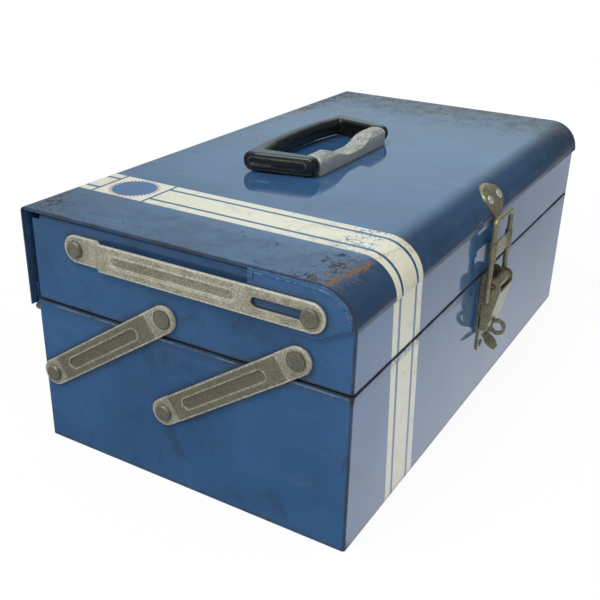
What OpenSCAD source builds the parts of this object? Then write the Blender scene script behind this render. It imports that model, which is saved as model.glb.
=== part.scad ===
// Portable two-tier cantilever tool box: a plain lower box, a full-size lifting
// tray on parallel arms, a hinged lid with a drop handle and an over-centre latch.
// Millimetres. X runs along the length, -Y is the latch side, +Y the hinge side,
// Z is up with the ground at 0. The bounding box is centred on X and Y.

/* [Box] */
// Length of the lower box over its end panels
box_l = 430; // [320:1:520]
// Depth of the lower box from front to back
box_d = 233; // [180:1:300]
// Height of the lower box to the top of its rim
box_h = 105.5; // [80:0.5:160]
// Thickness of the sheet steel
sheet = 1.0; // [0.6:0.1:1.6]
// Radius of the upright corners
corner_r = 2.0; // [1:0.5:8]
// Height of the folded hem round the mouth of the lower box
hem_h = 3.0; // [2:0.5:6]
// How far the hem stands proud of the wall
hem_proud = 0.2; // [0.1:0.1:0.8]
// Width of the bent flanges of the end panels
flange = 3; // [2.5:0.1:10]

/* [Tray] */
// Seam between the rim of the lower box and the tray floor
seam = 1.4; // [0.8:0.1:4]
// Height of the tray from its floor to its rim
tray_h = 55.1; // [40:0.1:90]
// Gap between the tray and the back wall of the lid
tray_back = 4.2; // [3:0.1:10]
// Radius of the turned-in shoulder along the front of the tray
shoulder_r = 18; // [8:0.5:20]
// How far each tray end panel is set in from the box end panel
tray_in = 0.3; // [0:0.1:2]

/* [Lid] */
// Clear height between the tray rim and the underside of the lid
lid_gap = 6.2; // [5:0.1:12]
// Radius of the rounded front edge of the lid
lid_r = 23.6; // [20:0.1:28]
// How far the lid front stands in front of the lower box
lid_front = 1.5; // [1.3:0.1:4]
// How far the lid passes each end panel of the lower box
lid_end = 2.5; // [2:0.1:6]
// Radius of the bend between the top and the back wall
lid_back_r = 3.5; // [1.5:0.5:8]

/* [Hinge] */
// Radius of the piano hinge knuckles
knuckle_r = 2.8; // [2:0.1:4]
// Radius of the hinge pin
hinge_pin_r = 1.2; // [0.8:0.1:2]
// Distance of the hinge pin below the rim of the lower box
hinge_drop = 7.5; // [6:0.1:12]
// Number of knuckles along the hinge
knuckle_n = 11; // [5:2:21]

/* [Linkage] */
// Distance between the two pivots of a tray arm
arm_len = 115.7; // [80:0.1:160]
// Angle of the arms above the level when the box is shut
arm_angle = 34.5; // [15:0.5:60]
// Width of the arms and links
strap_w = 18; // [12:0.5:24]
// Thickness of the pressed arms
arm_t = 1.6; // [1:0.1:3]
// Distance of the rear arm pivot from the rear wall
arm_back = 10.6; // [9.5:0.1:30]
// Distance between the rear and the front arm pivots
arm_gap = 93; // [60:0.5:140]
// Distance of the lower arm pivots below the rim of the lower box
arm_drop = 51.9; // [40:0.1:60]
// Distance of the tray pivot of the link from the rear wall
link_back = 40; // [20:0.1:60]
// Distance of the slot stud of the link from the front panel
stud_back = 24.7; // [16:0.1:60]
// Distance of the link below the tray rim when the box is shut
link_drop = 12.6; // [10.5:0.1:16]
// Length of free travel in the slot of the link
slot_run = 34.5; // [10:0.5:60]
// Radius of the rivet shanks that the arms turn on
rivet_r = 3.0; // [2:0.1:5]
// Radius of the rivet heads
head_r = 5.7; // [4.5:0.1:8]

/* [Handle] */
// Position of the handle along the lid
handle_x = -4; // [-60:1:60]
// Length of the handle bracket
bracket_l = 104; // [80:1:140]
// Width of the handle bracket
bracket_w = 14; // [10:0.5:22]
// Height of the bracket ends above the lid
lug_h = 14.6; // [12:0.1:24]
// Height of the saddle in the middle of the bracket
saddle_h = 6.6; // [3:0.1:10]
// Reach of the grip behind its pivot
grip_reach = 43; // [36:1:70]
// Radius of the pivot ends of the grip
grip_r = 6.2; // [5:0.1:9]

/* [Latch] */
// Position of the latch along the front
latch_x = 0; // [-60:1:60]
// Stand-off of the lever pin from the front panel
pin_out = 9.8; // [8.5:0.1:14]
// Distance of the lever pin below the rim of the lower box
pin_drop = 7.1; // [6.5:0.1:20]
// Half the width between the centres of the bail rods
bail_half = 17.1; // [14:0.1:24]
// Radius of the bail wire
bail_r = 1.9; // [1:0.1:2.2]
// Height of the top bar of the bail above the straight front edge of the lid
bail_rise = 2.5; // [2:0.1:9]
// Radius of the hole in the padlock eye
eye_hole_r = 3.6; // [2.5:0.1:5]
// Outer radius of the padlock eye
eye_r = 6.5; // [5:0.1:9]

/* [Hidden] */
$fn = 64;
run = 0.05;            // running clearance on every pivot, on the radius
gap = 0.3;             // air between parts of different moving groups
hl = box_l / 2;

// latch stations, measured outwards from the front panel and up from the ground
pin_z = box_h - pin_drop;
bail_out = pin_out - 2.6;
bail_z = pin_z - 10.9;
eye_out = pin_out + 3;
eye_z = pin_z - 37.4;
cheek_in = bail_half - 3.9;
cheek_t = 1.2;
foot_z = eye_z - 17;         // centre of the round foot of the base plate
root_z = eye_z + 1;          // where the base plate reaches its full width
base_rivet_z = [foot_z, foot_z + 36];

// what reaches furthest in front of and behind the lower box fixes the origin
front_out = eye_out + eye_r;
hinge_out = knuckle_r + 0.3;
rear_out = hinge_out + knuckle_r;
y_off = (front_out - rear_out) / 2;
yf = -box_d / 2 + y_off;
yr = box_d / 2 + y_off;

hy = yr + hinge_out;   // hinge pin axis
hinge_z = box_h - hinge_drop;
// tray floor and rim, then the lid over them
tz0 = box_h + seam;
tz1 = tz0 + tray_h;
lid_top = tz1 + lid_gap + sheet;
lid_edge = lid_top - lid_r;
ylf = yf - lid_front;
lid_back_in = hinge_out - 0.2;
ylr = yr + lid_back_in + sheet;
lid_x = hl + lid_end;
tyf = yf - 0.1;
tyr = yr + lid_back_in - tray_back;
tx = hl - tray_in;
// linkage stations
arm_z = box_h - arm_drop;
link_z = tz1 - link_drop;
ay1 = yr - arm_back;
ay2 = ay1 - arm_gap;
by1 = ay1 - arm_len * cos(arm_angle);
by2 = by1 - arm_gap;
bz = arm_z + arm_len * sin(arm_angle);
py = yr - link_back;
qy = yf + stud_back;
link_len = py - qy;           // between the tray pivot and the slot stud
arm_x = hl + hem_proud + 0.1; // inner face of the arm ends
step = 1.0;                  // joggle of the arm bodies
link_t = 1.8;
link_in = tx + 0.4;          // inner face of the link at the tray
gus_in = lid_x - 1.1;        // gusset plate
gus_out = lid_x + 0.4;
bead_h = 0.4;
link_body = gus_out + bead_h + gap;   // inner face of the link over the gusset
tail = 41.2;                 // reach of the gusset behind the slot stud
lid_hem = lid_end + tray_in - 0.5;    // width of the hem under the lid ends, clear of the tray
// handle stations
hyc = y_off + 1.5;
pvz = lid_top + 8.2;
screw_x = bracket_l / 2 - 16;
// lid front bend centre, which the strike plate follows
bcy = ylf + lid_r;
bcz = lid_edge;
strike_angle = 34.5;         // slope of the lid bend at the strike rivets

steel_blue = [0.10, 0.27, 0.55];
zinc = [0.56, 0.55, 0.50];
grey_paint = [0.60, 0.62, 0.60];
black = [0.04, 0.04, 0.045];

// ---------------------------------------------------------------- helpers
// flat shape given as (y, z), standing between two X stations
module plate_x(x0, x1) {
  translate([x0, 0, 0]) rotate([90, 0, 90]) linear_extrude(x1 - x0) children();
}
// flat shape given as (x, z), standing between two Y stations
module plate_y(y0, y1) {
  translate([0, y1, 0]) rotate([90, 0, 0]) linear_extrude(y1 - y0) children();
}
// rod along X
module rod_x(x0, x1, y, z, r) {
  translate([x0, y, z]) rotate([0, 90, 0]) cylinder(h = x1 - x0, r = r);
}
// rod along Y
module rod_y(y0, y1, x, z, r) {
  translate([x, y1, z]) rotate([90, 0, 0]) cylinder(h = y1 - y0, r = r);
}
// rectangle with round corners, made of plain squares and circles
module rrect(x0, x1, y0, y1, r) {
  translate([x0 + r, y0]) square([x1 - x0 - 2 * r, y1 - y0]);
  translate([x0, y0 + r]) square([x1 - x0, y1 - y0 - 2 * r]);
  for (x = [x0 + r, x1 - r], y = [y0 + r, y1 - r]) translate([x, y]) circle(r = r);
}
// both ends of the box, from the right-hand one
module both_ends() {
  children();
  mirror([1, 0, 0]) children();
}
// long round-ended slot along X from the origin
module stadium(len, r) {
  circle(r = r);
  translate([len, 0]) circle(r = r);
  translate([0, -r]) square([len, 2 * r]);
}
// headed rivet along X: shank through a panel, button outside, closed head inside
module rivet_x(y, z, x_in, x_panel, x_head, r, hr, hh, cr) {
  rod_x(x_in, x_head + 0.5, y, z, r);
  rod_x(x_in, x_panel, y, z, cr);
  translate([x_head, y, z]) rotate([0, 90, 0]) rotate_extrude()
    polygon([[0, 0], [hr, 0], [hr, hh * 0.55], [hr - 0.9, hh], [0, hh]]);
}

// ---------------------------------------------------------------- lower box
// the whole lower box, which is pressed from a wrap and two end panels
module box_form() {
  difference() {
    union() {
      linear_extrude(box_h) rrect(-hl, hl, yf, yr, corner_r);
      translate([0, 0, box_h - hem_h]) linear_extrude(hem_h)
        rrect(-hl - hem_proud, hl + hem_proud, yf - hem_proud, yr + hem_proud,
              corner_r + hem_proud);
    }
    translate([0, 0, sheet]) linear_extrude(box_h - sheet - hem_h)
      rrect(-hl + sheet, hl - sheet, yf + sheet, yr - sheet, corner_r - sheet / 2);
    translate([0, 0, box_h - hem_h - 1]) linear_extrude(hem_h + 2)
      rrect(-hl + 2 * sheet, hl - 2 * sheet, yf + 2 * sheet, yr - 2 * sheet, corner_r - sheet / 2);
    both_ends() for (y = [ay1, ay2]) rod_x(hl - 3, hl + 2, y, arm_z, rivet_r + 0.1);
    for (z = base_rivet_z) rod_y(yf - 2, yf + 3, latch_x, z, 1.7);
  }
}
// front wall, floor and rear wall in one bent sheet
module box_wrap() color(steel_blue) intersection() {
  box_form();
  translate([-hl + flange, yf - 5, -1]) cube([2 * (hl - flange), box_d + 10, box_h + 2]);
}
// end panel with its narrow bent flanges
module box_end() intersection() {
  box_form();
  translate([hl - flange, yf - 5, -1]) cube([flange + 5, box_d + 10, box_h + 2]);
}
module box_end_r() color(steel_blue) box_end();
module box_end_l() color(steel_blue) mirror([1, 0, 0]) box_end();

module hinge_span(i) {
  // one knuckle of the hinge, set on the pin axis
  pitch = (2 * hl - 6) / knuckle_n;
  rod_x(-hl + 3 + i * pitch + 0.25, -hl + 3 + (i + 1) * pitch - 0.25, hy, hinge_z, knuckle_r);
}
module hinge_tab(i, y0, y1, z0, z1) {
  pitch = (2 * hl - 6) / knuckle_n;
  translate([-hl + 3 + i * pitch + 0.25, y0, z0]) cube([pitch - 0.5, y1 - y0, z1 - z0]);
}
module hinge_leaf_box() color(steel_blue) difference() {
  union() {
    translate([-hl + 3, yr, hinge_z - 20]) cube([2 * hl - 6, sheet, 16.5]);
    for (i = [0:2:knuckle_n - 1]) {
      hinge_span(i);
      hinge_tab(i, yr, yr + sheet, hinge_z - 6, hinge_z);
    }
  }
  rod_x(-hl, hl, hy, hinge_z, hinge_pin_r + run);
}
module hinge_leaf_lid() color(steel_blue) difference() {
  union() {
    translate([-hl + 3, ylr - 2 * sheet, hinge_z + knuckle_r + 0.6])
      cube([2 * hl - 6, sheet, 14]);
    for (i = [1:2:knuckle_n - 1]) {
      hinge_span(i);
      hinge_tab(i, ylr - 2 * sheet, ylr - sheet, hinge_z, hinge_z + 6);
    }
  }
  rod_x(-hl, hl, hy, hinge_z, hinge_pin_r + run);
}
module hinge_pin() color(zinc) {
  rod_x(-hl + 2.4, hl - 2.4, hy, hinge_z, hinge_pin_r);
  both_ends() rod_x(hl - 2.8, hl - 2.0, hy, hinge_z, hinge_pin_r + 0.8);
}
module lower_rivets() color(zinc) both_ends() for (y = [ay1, ay2])
  rivet_x(y, arm_z, hl - sheet - 1.4, hl - sheet, arm_x + arm_t + 0.1, rivet_r, head_r, 2.5, 4.6);

// ---------------------------------------------------------------- latch on the box
module latch_base() color(zinc) {
  difference() {
    union() {
      // plate on the front panel, with a round foot
      plate_y(yf - 1.2, yf) {
        translate([latch_x - 11.5, root_z]) square([23, box_h - hem_h - 0.2 - root_z]);
        translate([latch_x, foot_z]) circle(r = 6);
        polygon([[latch_x - 6, foot_z], [latch_x + 6, foot_z], [latch_x + 6, root_z - 8],
                 [latch_x + 11.5, root_z], [latch_x - 11.5, root_z], [latch_x - 6, root_z - 8]]);
      }
      // side flanges that carry the rolled knuckle
      for (s = [-1, 1]) translate([latch_x + s * 11.4, 0, 0]) plate_x(-0.6, 0.6)
        polygon([[yf - 1, pin_z - 20.4], [yf - 1, box_h], [yf - 4, box_h],
                 [yf - pin_out + 1, pin_z + 4], [yf - pin_out + 1, pin_z - 4], [yf - 4, pin_z - 14.4]]);
      rod_x(latch_x - 12, latch_x + 12, yf - pin_out, pin_z, 4.0);
    }
    rod_x(latch_x - 13, latch_x + 13, yf - pin_out, pin_z, 2.05);
    for (z = base_rivet_z) rod_y(yf - 3, yf + 1, latch_x, z, 1.7);
  }
}
module padlock_eye() color(zinc) translate([latch_x, 0, 0]) difference() {
  plate_x(-1.1, 1.1) {
    translate([yf - eye_out, eye_z]) circle(r = eye_r);
    translate([yf - eye_out, eye_z - 5.2]) square([eye_out - 1.2, 10.4]);
  }
  rod_x(-2, 2, yf - eye_out, eye_z, eye_hole_r);
}
module latch_base_rivets() color(zinc) for (z = base_rivet_z) {
  rod_y(yf - 1.7, yf + sheet + 1.2, latch_x, z, 1.6);
  rod_y(yf + sheet, yf + sheet + 1.2, latch_x, z, 3.0);
  translate([latch_x, yf - 1.2, z]) rotate([90, 0, 0]) rotate_extrude()
    polygon([[0, 0], [3.2, 0], [3.0, 0.5], [2.0, 0.95], [0, 1.1]]);
}
module lever_pin() color(zinc) translate([latch_x, 0, 0]) {
  rod_x(-cheek_in - cheek_t - 0.1, cheek_in + cheek_t + 0.1, yf - pin_out, pin_z, 2.0);
  for (s = [0, 1]) mirror([s, 0, 0])
    rod_x(cheek_in + cheek_t + 0.1, cheek_in + cheek_t + 0.5, yf - pin_out, pin_z, 2.5);
}

// ---------------------------------------------------------------- tray
// section of the tray, drawn in by i
module tray2d(i) {
  r = shoulder_r - i;
  cy = tyf + shoulder_r;
  cz = tz1 - shoulder_r;
  translate([tyf + i, tz0 + i]) square([tyr - tyf - 2 * i, cz - tz0 - i]);
  translate([cy, tz0 + i]) square([tyr - i - cy, tz1 - tz0 - 2 * i]);
  translate([cy, cz]) circle(r = r);
}
module tray_shell() color(steel_blue) {
  mouth = tyf + shoulder_r + 3;        // front edge of the opening
  difference() {
    intersection() {
      plate_x(-tx, tx) tray2d(0);
      translate([0, 0, tz0 - 1]) linear_extrude(tray_h + 2) rrect(-tx, tx, tyf, tyr, corner_r);
    }
    plate_x(-tx + sheet, tx - sheet) tray2d(sheet);
    // mouth, with a folded hem left round it
    translate([-tx + 2 * sheet, mouth, tz1 - 10])
      cube([2 * (tx - 2 * sheet), tyr - 2 * sheet - mouth, 20]);
    both_ends() {
      for (y = [by1, by2]) rod_x(hl - 3, hl + 2, y, bz, rivet_r + 0.1);
      rod_x(hl - 3, hl + 2, py, link_z, rivet_r + 0.1);
    }
  }
  // hem inside the rear wall and the end walls
  difference() {
    translate([-tx + sheet, mouth, tz1 - hem_h])
      cube([2 * (tx - sheet), tyr - sheet - mouth, hem_h]);
    translate([-tx + 2 * sheet, mouth - 3, tz1 - hem_h - 1])
      cube([2 * (tx - 2 * sheet), tyr - 2 * sheet - mouth + 3, hem_h + 2]);
  }
}
module upper_rivets() color(zinc) both_ends() for (y = [by1, by2]) {
  rod_x(tx - sheet - 1.4, arm_x + arm_t + 0.3, y, bz, rivet_r);
  rod_x(tx - sheet - 1.4, tx - sheet, y, bz, 4.6);
  rod_x(arm_x + arm_t + 0.1, arm_x + arm_t + 1.2, y, bz, head_r - 0.3);
}
module link_rivets() color(zinc) both_ends()
  rivet_x(py, link_z, tx - sheet - 1.4, tx - sheet, link_in + link_t + 0.1, rivet_r, head_r, 2.4, 4.6);

// ---------------------------------------------------------------- arms and links
// strap lying along +X from its first pivot; prof is its edge as (along, outwards)
module strap(len, w, prof) intersection() {
  translate([0, w / 2 + 1, 0]) rotate([90, 0, 0]) linear_extrude(w + 2) polygon(prof);
  translate([0, 0, -1]) linear_extrude(12) stadium(len, w / 2);
}
// stands a strap on the right-hand end, pivot at (y, z), pointing forwards and up
module stand(x, y, z, up) {
  translate([x, y, z]) rotate([90, 0, 90]) rotate([0, 0, 180 - up]) children();
}
module arm(y) stand(arm_x, y, arm_z, arm_angle) {
  L = arm_len;
  t = arm_t;
  difference() {
    union() {
      strap(L, strap_w, [[-12, 0], [8, 0], [10.5, step], [L - 13.5, step], [L - 11, 0],
        [L + 12, 0], [L + 12, t], [L - 11.6, t], [L - 14.1, t + step],
        [11.1, t + step], [8.6, t], [-12, t]]);
      translate([L, 0, t / 2]) cylinder(h = t / 2 + 1.0, r = 8.5);
    }
    translate([L, 0, t]) cylinder(h = 3, r = 6.5);
    for (s = [0, L]) translate([s, 0, -1]) cylinder(h = 5, r = rivet_r + run);
    translate([23.5, 0, t + step - 0.9]) linear_extrude(2) stadium(L - 23.5 - 28.5, 3.4);
  }
}
module rear_arm_r() color(zinc) arm(ay1);
module rear_arm_l() color(zinc) mirror([1, 0, 0]) arm(ay1);
module front_arm_r() color(zinc) arm(ay2);
module front_arm_l() color(zinc) mirror([1, 0, 0]) arm(ay2);

module link() stand(link_in, py, link_z, 0) {
  L = link_len;
  o = link_body - link_in;
  t = link_t;
  difference() {
    strap(L, strap_w, [[-12, 0], [17.5, 0], [22.5, o], [L + 12, o], [L + 12, o + t],
      [21.3, o + t], [16.3, t], [-12, t]]);
    translate([0, 0, -1]) cylinder(h = 5, r = rivet_r + run);
    translate([34, 0, o + t - 0.7]) linear_extrude(2) stadium(L - slot_run - 34 - 16, 2.9);
    translate([L - slot_run, 0, -1]) linear_extrude(12) stadium(slot_run, rivet_r + 0.15);
  }
}
module link_r() color(zinc) link();
module link_l() color(zinc) mirror([1, 0, 0]) link();
module slot_studs() color(zinc) both_ends() {
  rod_x(link_body, link_body + link_t + 0.5, qy, link_z, rivet_r);
  translate([link_body + link_t + 0.05, qy, link_z]) rotate([0, 90, 0]) rotate_extrude()
    polygon([[0, 0], [head_r, 0], [head_r, 1.6], [head_r - 0.5, 2.1], [0, 2.1]]);
}

// ---------------------------------------------------------------- lid
// outer section of the lid as (y, z), drawn in by i, closed down to z0
module lid2d(i, z0) {
  r = lid_r - i;
  b = max(0.2, lid_back_r - i);
  translate([ylf + i, z0]) square([ylr - ylf - 2 * i, lid_edge - z0]);
  translate([bcy, z0]) square([ylr - i - bcy, lid_top - lid_back_r - z0]);
  translate([bcy, z0]) square([ylr - lid_back_r - bcy, lid_top - i - z0]);
  translate([bcy, bcz]) circle(r = r);
  translate([ylr - lid_back_r, lid_top - lid_back_r]) circle(r = b);
}
module lid_shell() color(steel_blue) {
  zb = hinge_z + knuckle_r + 0.5;
  difference() {
    plate_x(-lid_x, lid_x) difference() {
      lid2d(0, zb);
      lid2d(sheet, zb - 1);
      translate([ylf - 1, zb - 2]) square([ylr - ylf - 6, lid_edge - zb + 2]);
    }
    for (x = [-screw_x, screw_x]) translate([handle_x + x, hyc, lid_top - 5]) cylinder(h = 8, r = 2.6);
    for (s = [-1, 1]) strike_place() translate([s * 8.8, 0, lid_r - 4]) cylinder(h = 6, r = 1.9);
  }
  // hem folded under each end edge, from the gusset to the rear bend
  y0 = qy + tail + gap;
  both_ends() translate([lid_x - lid_hem, y0, lid_top - 2 * sheet])
    cube([lid_hem, ylr - lid_back_r - y0, 1.5 * sheet]);
}
// outline of the end gusset as (y, z): follows the inside of the lid, hangs round the stud
module gusset2d() {
  intersection() {
    lid2d(sheet + 0.1, link_z - 30);
    union() {
      translate([yf - 1, lid_edge + 0.6]) square([qy + tail + 1 - yf, lid_top]);
      polygon([[yf + 4.3, lid_edge + 0.6], [qy - 7.2, link_z - 10.6], [qy - 0.2, link_z - 12.7],
               [qy + 9.3, link_z - 12.7], [qy + 16, link_z - 10.3], [qy + tail, tz1 - 2.4],
               [qy + tail, tz1], [yf + 4.3, tz1]]);
      translate([qy + 9.3, link_z - 2]) circle(r = 10.7);
      translate([qy - 0.2, link_z - 0.4]) circle(r = 12.3);
    }
  }
}
module lid_gusset() {
  difference() {
    union() {
      plate_x(gus_in, gus_out) gusset2d();
      // pressed bead inside the edge
      plate_x(gus_out - 0.5, gus_out + bead_h) {
        intersection() {
          difference() { lid2d(3.2, link_z - 30); lid2d(5.0, link_z - 30); }
          translate([yf - 1, lid_edge + 3.4]) square([qy + tail - 0.9 - yf, lid_top]);
        }
        translate([qy + tail - 3.7, lid_top - 7.4]) square([1.8, 3.9]);
      }
    }
    rod_x(gus_in - 1, gus_out + 1, qy, link_z, rivet_r + 0.1);
  }
}
module lid_gusset_r() color(steel_blue) lid_gusset();
module lid_gusset_l() color(steel_blue) mirror([1, 0, 0]) lid_gusset();
module stud_heads() color(zinc) both_ends() {
  rod_x(gus_in - 0.9, gus_out + bead_h, qy, link_z, rivet_r);
  rod_x(gus_in - 0.9, gus_in, qy, link_z, 4.8);
}

// ---------------------------------------------------------------- handle
// side view of the bracket as (x, z): round-topped ends and a dip between them
module bracket2d() {
  h2 = bracket_l / 2;
  n = 28;
  e = 4;
  flat = 9;
  dip = [for (k = [1:n - 1]) let (x = -h2 + e + 2 * (h2 - e) * k / n,
      u = max(0, min(1, (h2 - e - flat - abs(x)) / (h2 - e - flat - 7))))
      [x, lid_top + saddle_h + (lug_h - saddle_h) * (1 + cos(180 * u)) / 2]];
  corner = [for (a = [180:-11.25:90]) [e * cos(a), lid_top + lug_h - e + e * sin(a)]];
  left = [for (c = corner) [c.x - h2 + e, c.y]];
  right = [for (k = [len(corner) - 1:-1:0]) [h2 - e - corner[k].x, corner[k].y]];
  polygon(concat([[-h2, lid_top]], left, dip, right, [[h2, lid_top]]));
}
// end view of the bracket as (y, z)
module bracket_end2d() {
  w = bracket_w / 2;
  r = 5;
  translate([hyc - w, lid_top]) square([2 * w, lug_h - r]);
  translate([hyc - w + r, lid_top]) square([2 * (w - r), lug_h]);
  for (s = [-1, 1]) translate([hyc + s * (w - r), lid_top + lug_h - r]) circle(r = r);
}
module handle_bracket() color(grey_paint) difference() {
  intersection() {
    translate([handle_x, 0, 0]) plate_y(hyc - bracket_w, hyc + bracket_w) bracket2d();
    plate_x(handle_x - bracket_l, handle_x + bracket_l) bracket_end2d();
  }
  for (s = [-1, 1]) {
    rod_x(handle_x + s * (bracket_l / 2 - 6) - 7, handle_x + s * (bracket_l / 2 - 6) + 7,
          hyc, pvz, 2.6);
    translate([handle_x + s * screw_x, hyc, lid_top - 1]) cylinder(h = 5.5, r = 2.1);
  }
}
module handle_plate() color(zinc) difference() {
  translate([0, 0, lid_top - sheet - 1.2]) linear_extrude(1.2)
    rrect(handle_x - screw_x - 8, handle_x + screw_x + 8, hyc - 7, hyc + 7, 3);
  for (x = [-screw_x, screw_x]) translate([handle_x + x, hyc, lid_top - 5]) cylinder(h = 8, r = 2.6);
}
module handle_screws() color(zinc) for (x = [-screw_x, screw_x]) translate([handle_x + x, hyc, 0]) {
  translate([0, 0, lid_top - sheet - 3.0]) cylinder(h = sheet + 6.5, r = 2.0);
  difference() {
    translate([0, 0, lid_top - sheet - 3.2]) cylinder(h = 2.0, r = 4.2);
    translate([-5, -0.5, lid_top - sheet - 3.3]) cube([10, 1.0, 0.9]);
  }
}
module handle_pins() color(zinc) for (s = [-1, 1]) {
  a = handle_x + s * (bracket_l / 2 - 10);
  b = handle_x + s * (bracket_l / 2 + 5);
  rod_x(min(a, b), max(a, b), hyc, pvz, 2.5);
}
// cross-section disc of the grip, lying across X at (x, y, z)
module grip_disc(x, y, z, w, rz) {
  translate([x - w / 2, y, z]) rotate([0, 90, 0]) cylinder(h = w, r = rz, $fn = 32);
}
module handle_grip() color(black) {
  h2 = bracket_l / 2 + 0.4;
  gz = lid_top + 8.4;
  difference() {
    union() {
      for (s = [-1, 1]) hull() {
        grip_disc(handle_x + s * (h2 + 4), hyc, pvz, 8, grip_r);
        grip_disc(handle_x + s * (h2 + 11.5), hyc + grip_reach - 2, gz, 12, grip_r + 0.1);
      }
      for (s = [-1, 1]) {
        hull() {
          grip_disc(handle_x + s * (h2 + 11.5), hyc + grip_reach - 2, gz, 12, grip_r + 0.2);
          grip_disc(handle_x + s * (h2 - 18.4), hyc + grip_reach + 3, gz, 2, grip_r + 0.4);
        }
        hull() {
          grip_disc(handle_x + s * (h2 - 18.4), hyc + grip_reach + 3, gz, 2, grip_r + 0.4);
          grip_disc(handle_x, hyc + grip_reach + 4, gz, 2, grip_r + 0.5);
        }
      }
    }
    for (s = [-1, 1]) {
      a = handle_x + s * (h2 - 2);
      b = handle_x + s * (h2 + 5.2);
      rod_x(min(a, b), max(a, b), hyc, pvz, 2.5 + run);
    }
  }
}

// ---------------------------------------------------------------- strike and latch
// puts +Z on the outward normal of the lid bend at the strike rivets
module strike_place() {
  translate([latch_x, bcy, bcz]) rotate([90 - strike_angle, 0, 0]) children();
}
module strike_outline() {
  // front view as (x, z): wide rounded head, waist, hook
  translate([latch_x, 0]) {
    z = lid_edge;
    lean = 180 / PI * 11.5 / lid_r;    // half of the head, as an angle on the bend
    polygon([for (a = [0:9:351]) [15.5 * cos(a), z + (lid_r + 0.7) * sin(strike_angle + lean * sin(a))]]);
    polygon([[-14.6, z + 10.6], [-11.5, z + 6.4], [-7.6, z + 3.4], [-6, z + 0.9], [-6, z - 7.6],
             [6, z - 7.6], [6, z + 0.9], [7.6, z + 3.4], [11.5, z + 6.4], [14.6, z + 10.6]]);
  }
}
module strike_plate() color(zinc) {
  t = 1.4;
  hook_z = lid_edge - 2.6;
  difference() {
    intersection() {
      plate_x(latch_x - 20, latch_x + 20) {
        intersection() {
          difference() {
            translate([bcy, bcz]) circle(r = lid_r + t);
            translate([bcy, bcz]) circle(r = lid_r);
          }
          translate([bcy - 40, bcz]) square([40, 40]);
        }
        // straight below the bend, then the hook turning outwards
        translate([ylf - t, hook_z]) square([t, lid_edge - hook_z]);
        difference() {
          translate([ylf - t - 0.1, hook_z]) circle(r = 2.0);
          translate([ylf - t - 0.1, hook_z]) circle(r = 0.8);
          translate([ylf - t - 5, hook_z]) square([10, 5]);
        }
        translate([ylf - t - 2.1, hook_z]) square([1.2, 1.6]);
      }
      plate_y(yf - 30, yf + 40) strike_outline();
    }
    for (s = [-1, 1]) strike_place() translate([s * 8.8, 0, lid_r - 2]) cylinder(h = 6, r = 1.9);
  }
}
module strike_rivets() color(zinc) for (s = [-1, 1]) strike_place()
  translate([s * 8.8, 0, 0]) difference() {
    union() {
      translate([0, 0, lid_r - sheet - 1.0]) cylinder(h = 4.2, r = 1.8);
      translate([0, 0, lid_r - sheet - 1.0]) cylinder(h = 0.8, r = 3.2);
      translate([0, 0, lid_r + 1.45]) rotate_extrude()
        polygon([[0, 0], [3.3, 0], [3.3, 0.4], [2.6, 1.0], [0, 1.0]]);
    }
    translate([0, 0, lid_r - 1]) cylinder(h = 6, r = 1.2);
  }

// side section of the lever web, neck and finger tab as (outwards, up) from the pin
module lever_side() {
  polygon([[5.5, -4.4], [-1.4, -36.4], [-4.2, -41.9], [-5.6, -45], [3.8, -54.8], [3, -55.6],
           [-7.2, -45], [-5.4, -41.2], [-2.6, -36], [4.3, -4.1]]);
}
module latch_lever() color(zinc) translate([latch_x, 0, 0]) difference() {
  union() {
    // web with its neck and finger tab
    intersection() {
      plate_x(-20, 20) mirror([1, 0]) translate([pin_out - yf, pin_z]) lever_side();
      plate_y(yf - 40, yf) translate([0, pin_z]) {
        w = cheek_in + cheek_t;
        polygon([[-w, -3.4], [-w, -30.4], [2.4 - w, -37.4], [-5.2, -40.9], [-5.2, -48.4],
                 [5.2, -48.4], [5.2, -40.9], [w - 2.4, -37.4], [w, -30.4], [w, -3.4]]);
        polygon([for (a = [0:9:351]) [7 * cos(a), -50.4 + 5.4 * sin(a)]]);
      }
    }
    // cheeks
    for (s = [0, 1]) mirror([s, 0, 0]) plate_x(cheek_in, cheek_in + cheek_t)
      mirror([1, 0]) translate([pin_out - yf, pin_z]) {
        circle(r = 5.4);
        polygon([[-5.4, 0], [-7.0, -5.4], [-6.3, -34.4], [-4.6, -36.4], [-1.4, -36.4],
                 [5.5, -4.4], [5.4, -1.4], [3.8, 3.8]]);
      }
  }
  rod_x(-20, 20, yf - pin_out, pin_z, 2.0 + run);
  rod_x(-20, 20, yf - bail_out, bail_z, bail_r + 0.1);
  // slot that lets the padlock eye through
  translate([-1.9, yf - 25, eye_z - 8.4]) cube([3.8, 24, 16.6]);
}

module latch_bail() color(zinc) translate([latch_x, yf - bail_out, 0]) {
  c = 3.6;
  bail_top = lid_edge + bail_rise;
  for (s = [0, 1]) mirror([s, 0, 0]) {
    translate([bail_half, 0, bail_z]) cylinder(h = bail_top - c - bail_z, r = bail_r);
    translate([bail_half, 0, bail_z]) sphere(r = bail_r);
    rod_x(cheek_in - 0.4, bail_half, 0, bail_z, bail_r);
    translate([bail_half - c, 0, bail_top - c]) rotate([90, 0, 0])
      rotate_extrude(angle = 90) translate([c, 0]) circle(r = bail_r);
  }
  rod_x(-bail_half + c, bail_half - c, 0, bail_top, bail_r);
}
module bail_sleeve() color(zinc) translate([latch_x, yf - bail_out, bail_z + 31.8]) difference() {
  union() {
    for (s = [-1, 1]) translate([s * bail_half, 0, 0]) cylinder(h = 12.6, r = bail_r + 0.9);
    translate([-bail_half, -1.0, 0.5]) cube([2 * bail_half, 1.1, 11.6]);
  }
  for (s = [-1, 1]) translate([s * bail_half, 0, -1]) cylinder(h = 15, r = bail_r + 0.05);
}

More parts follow.
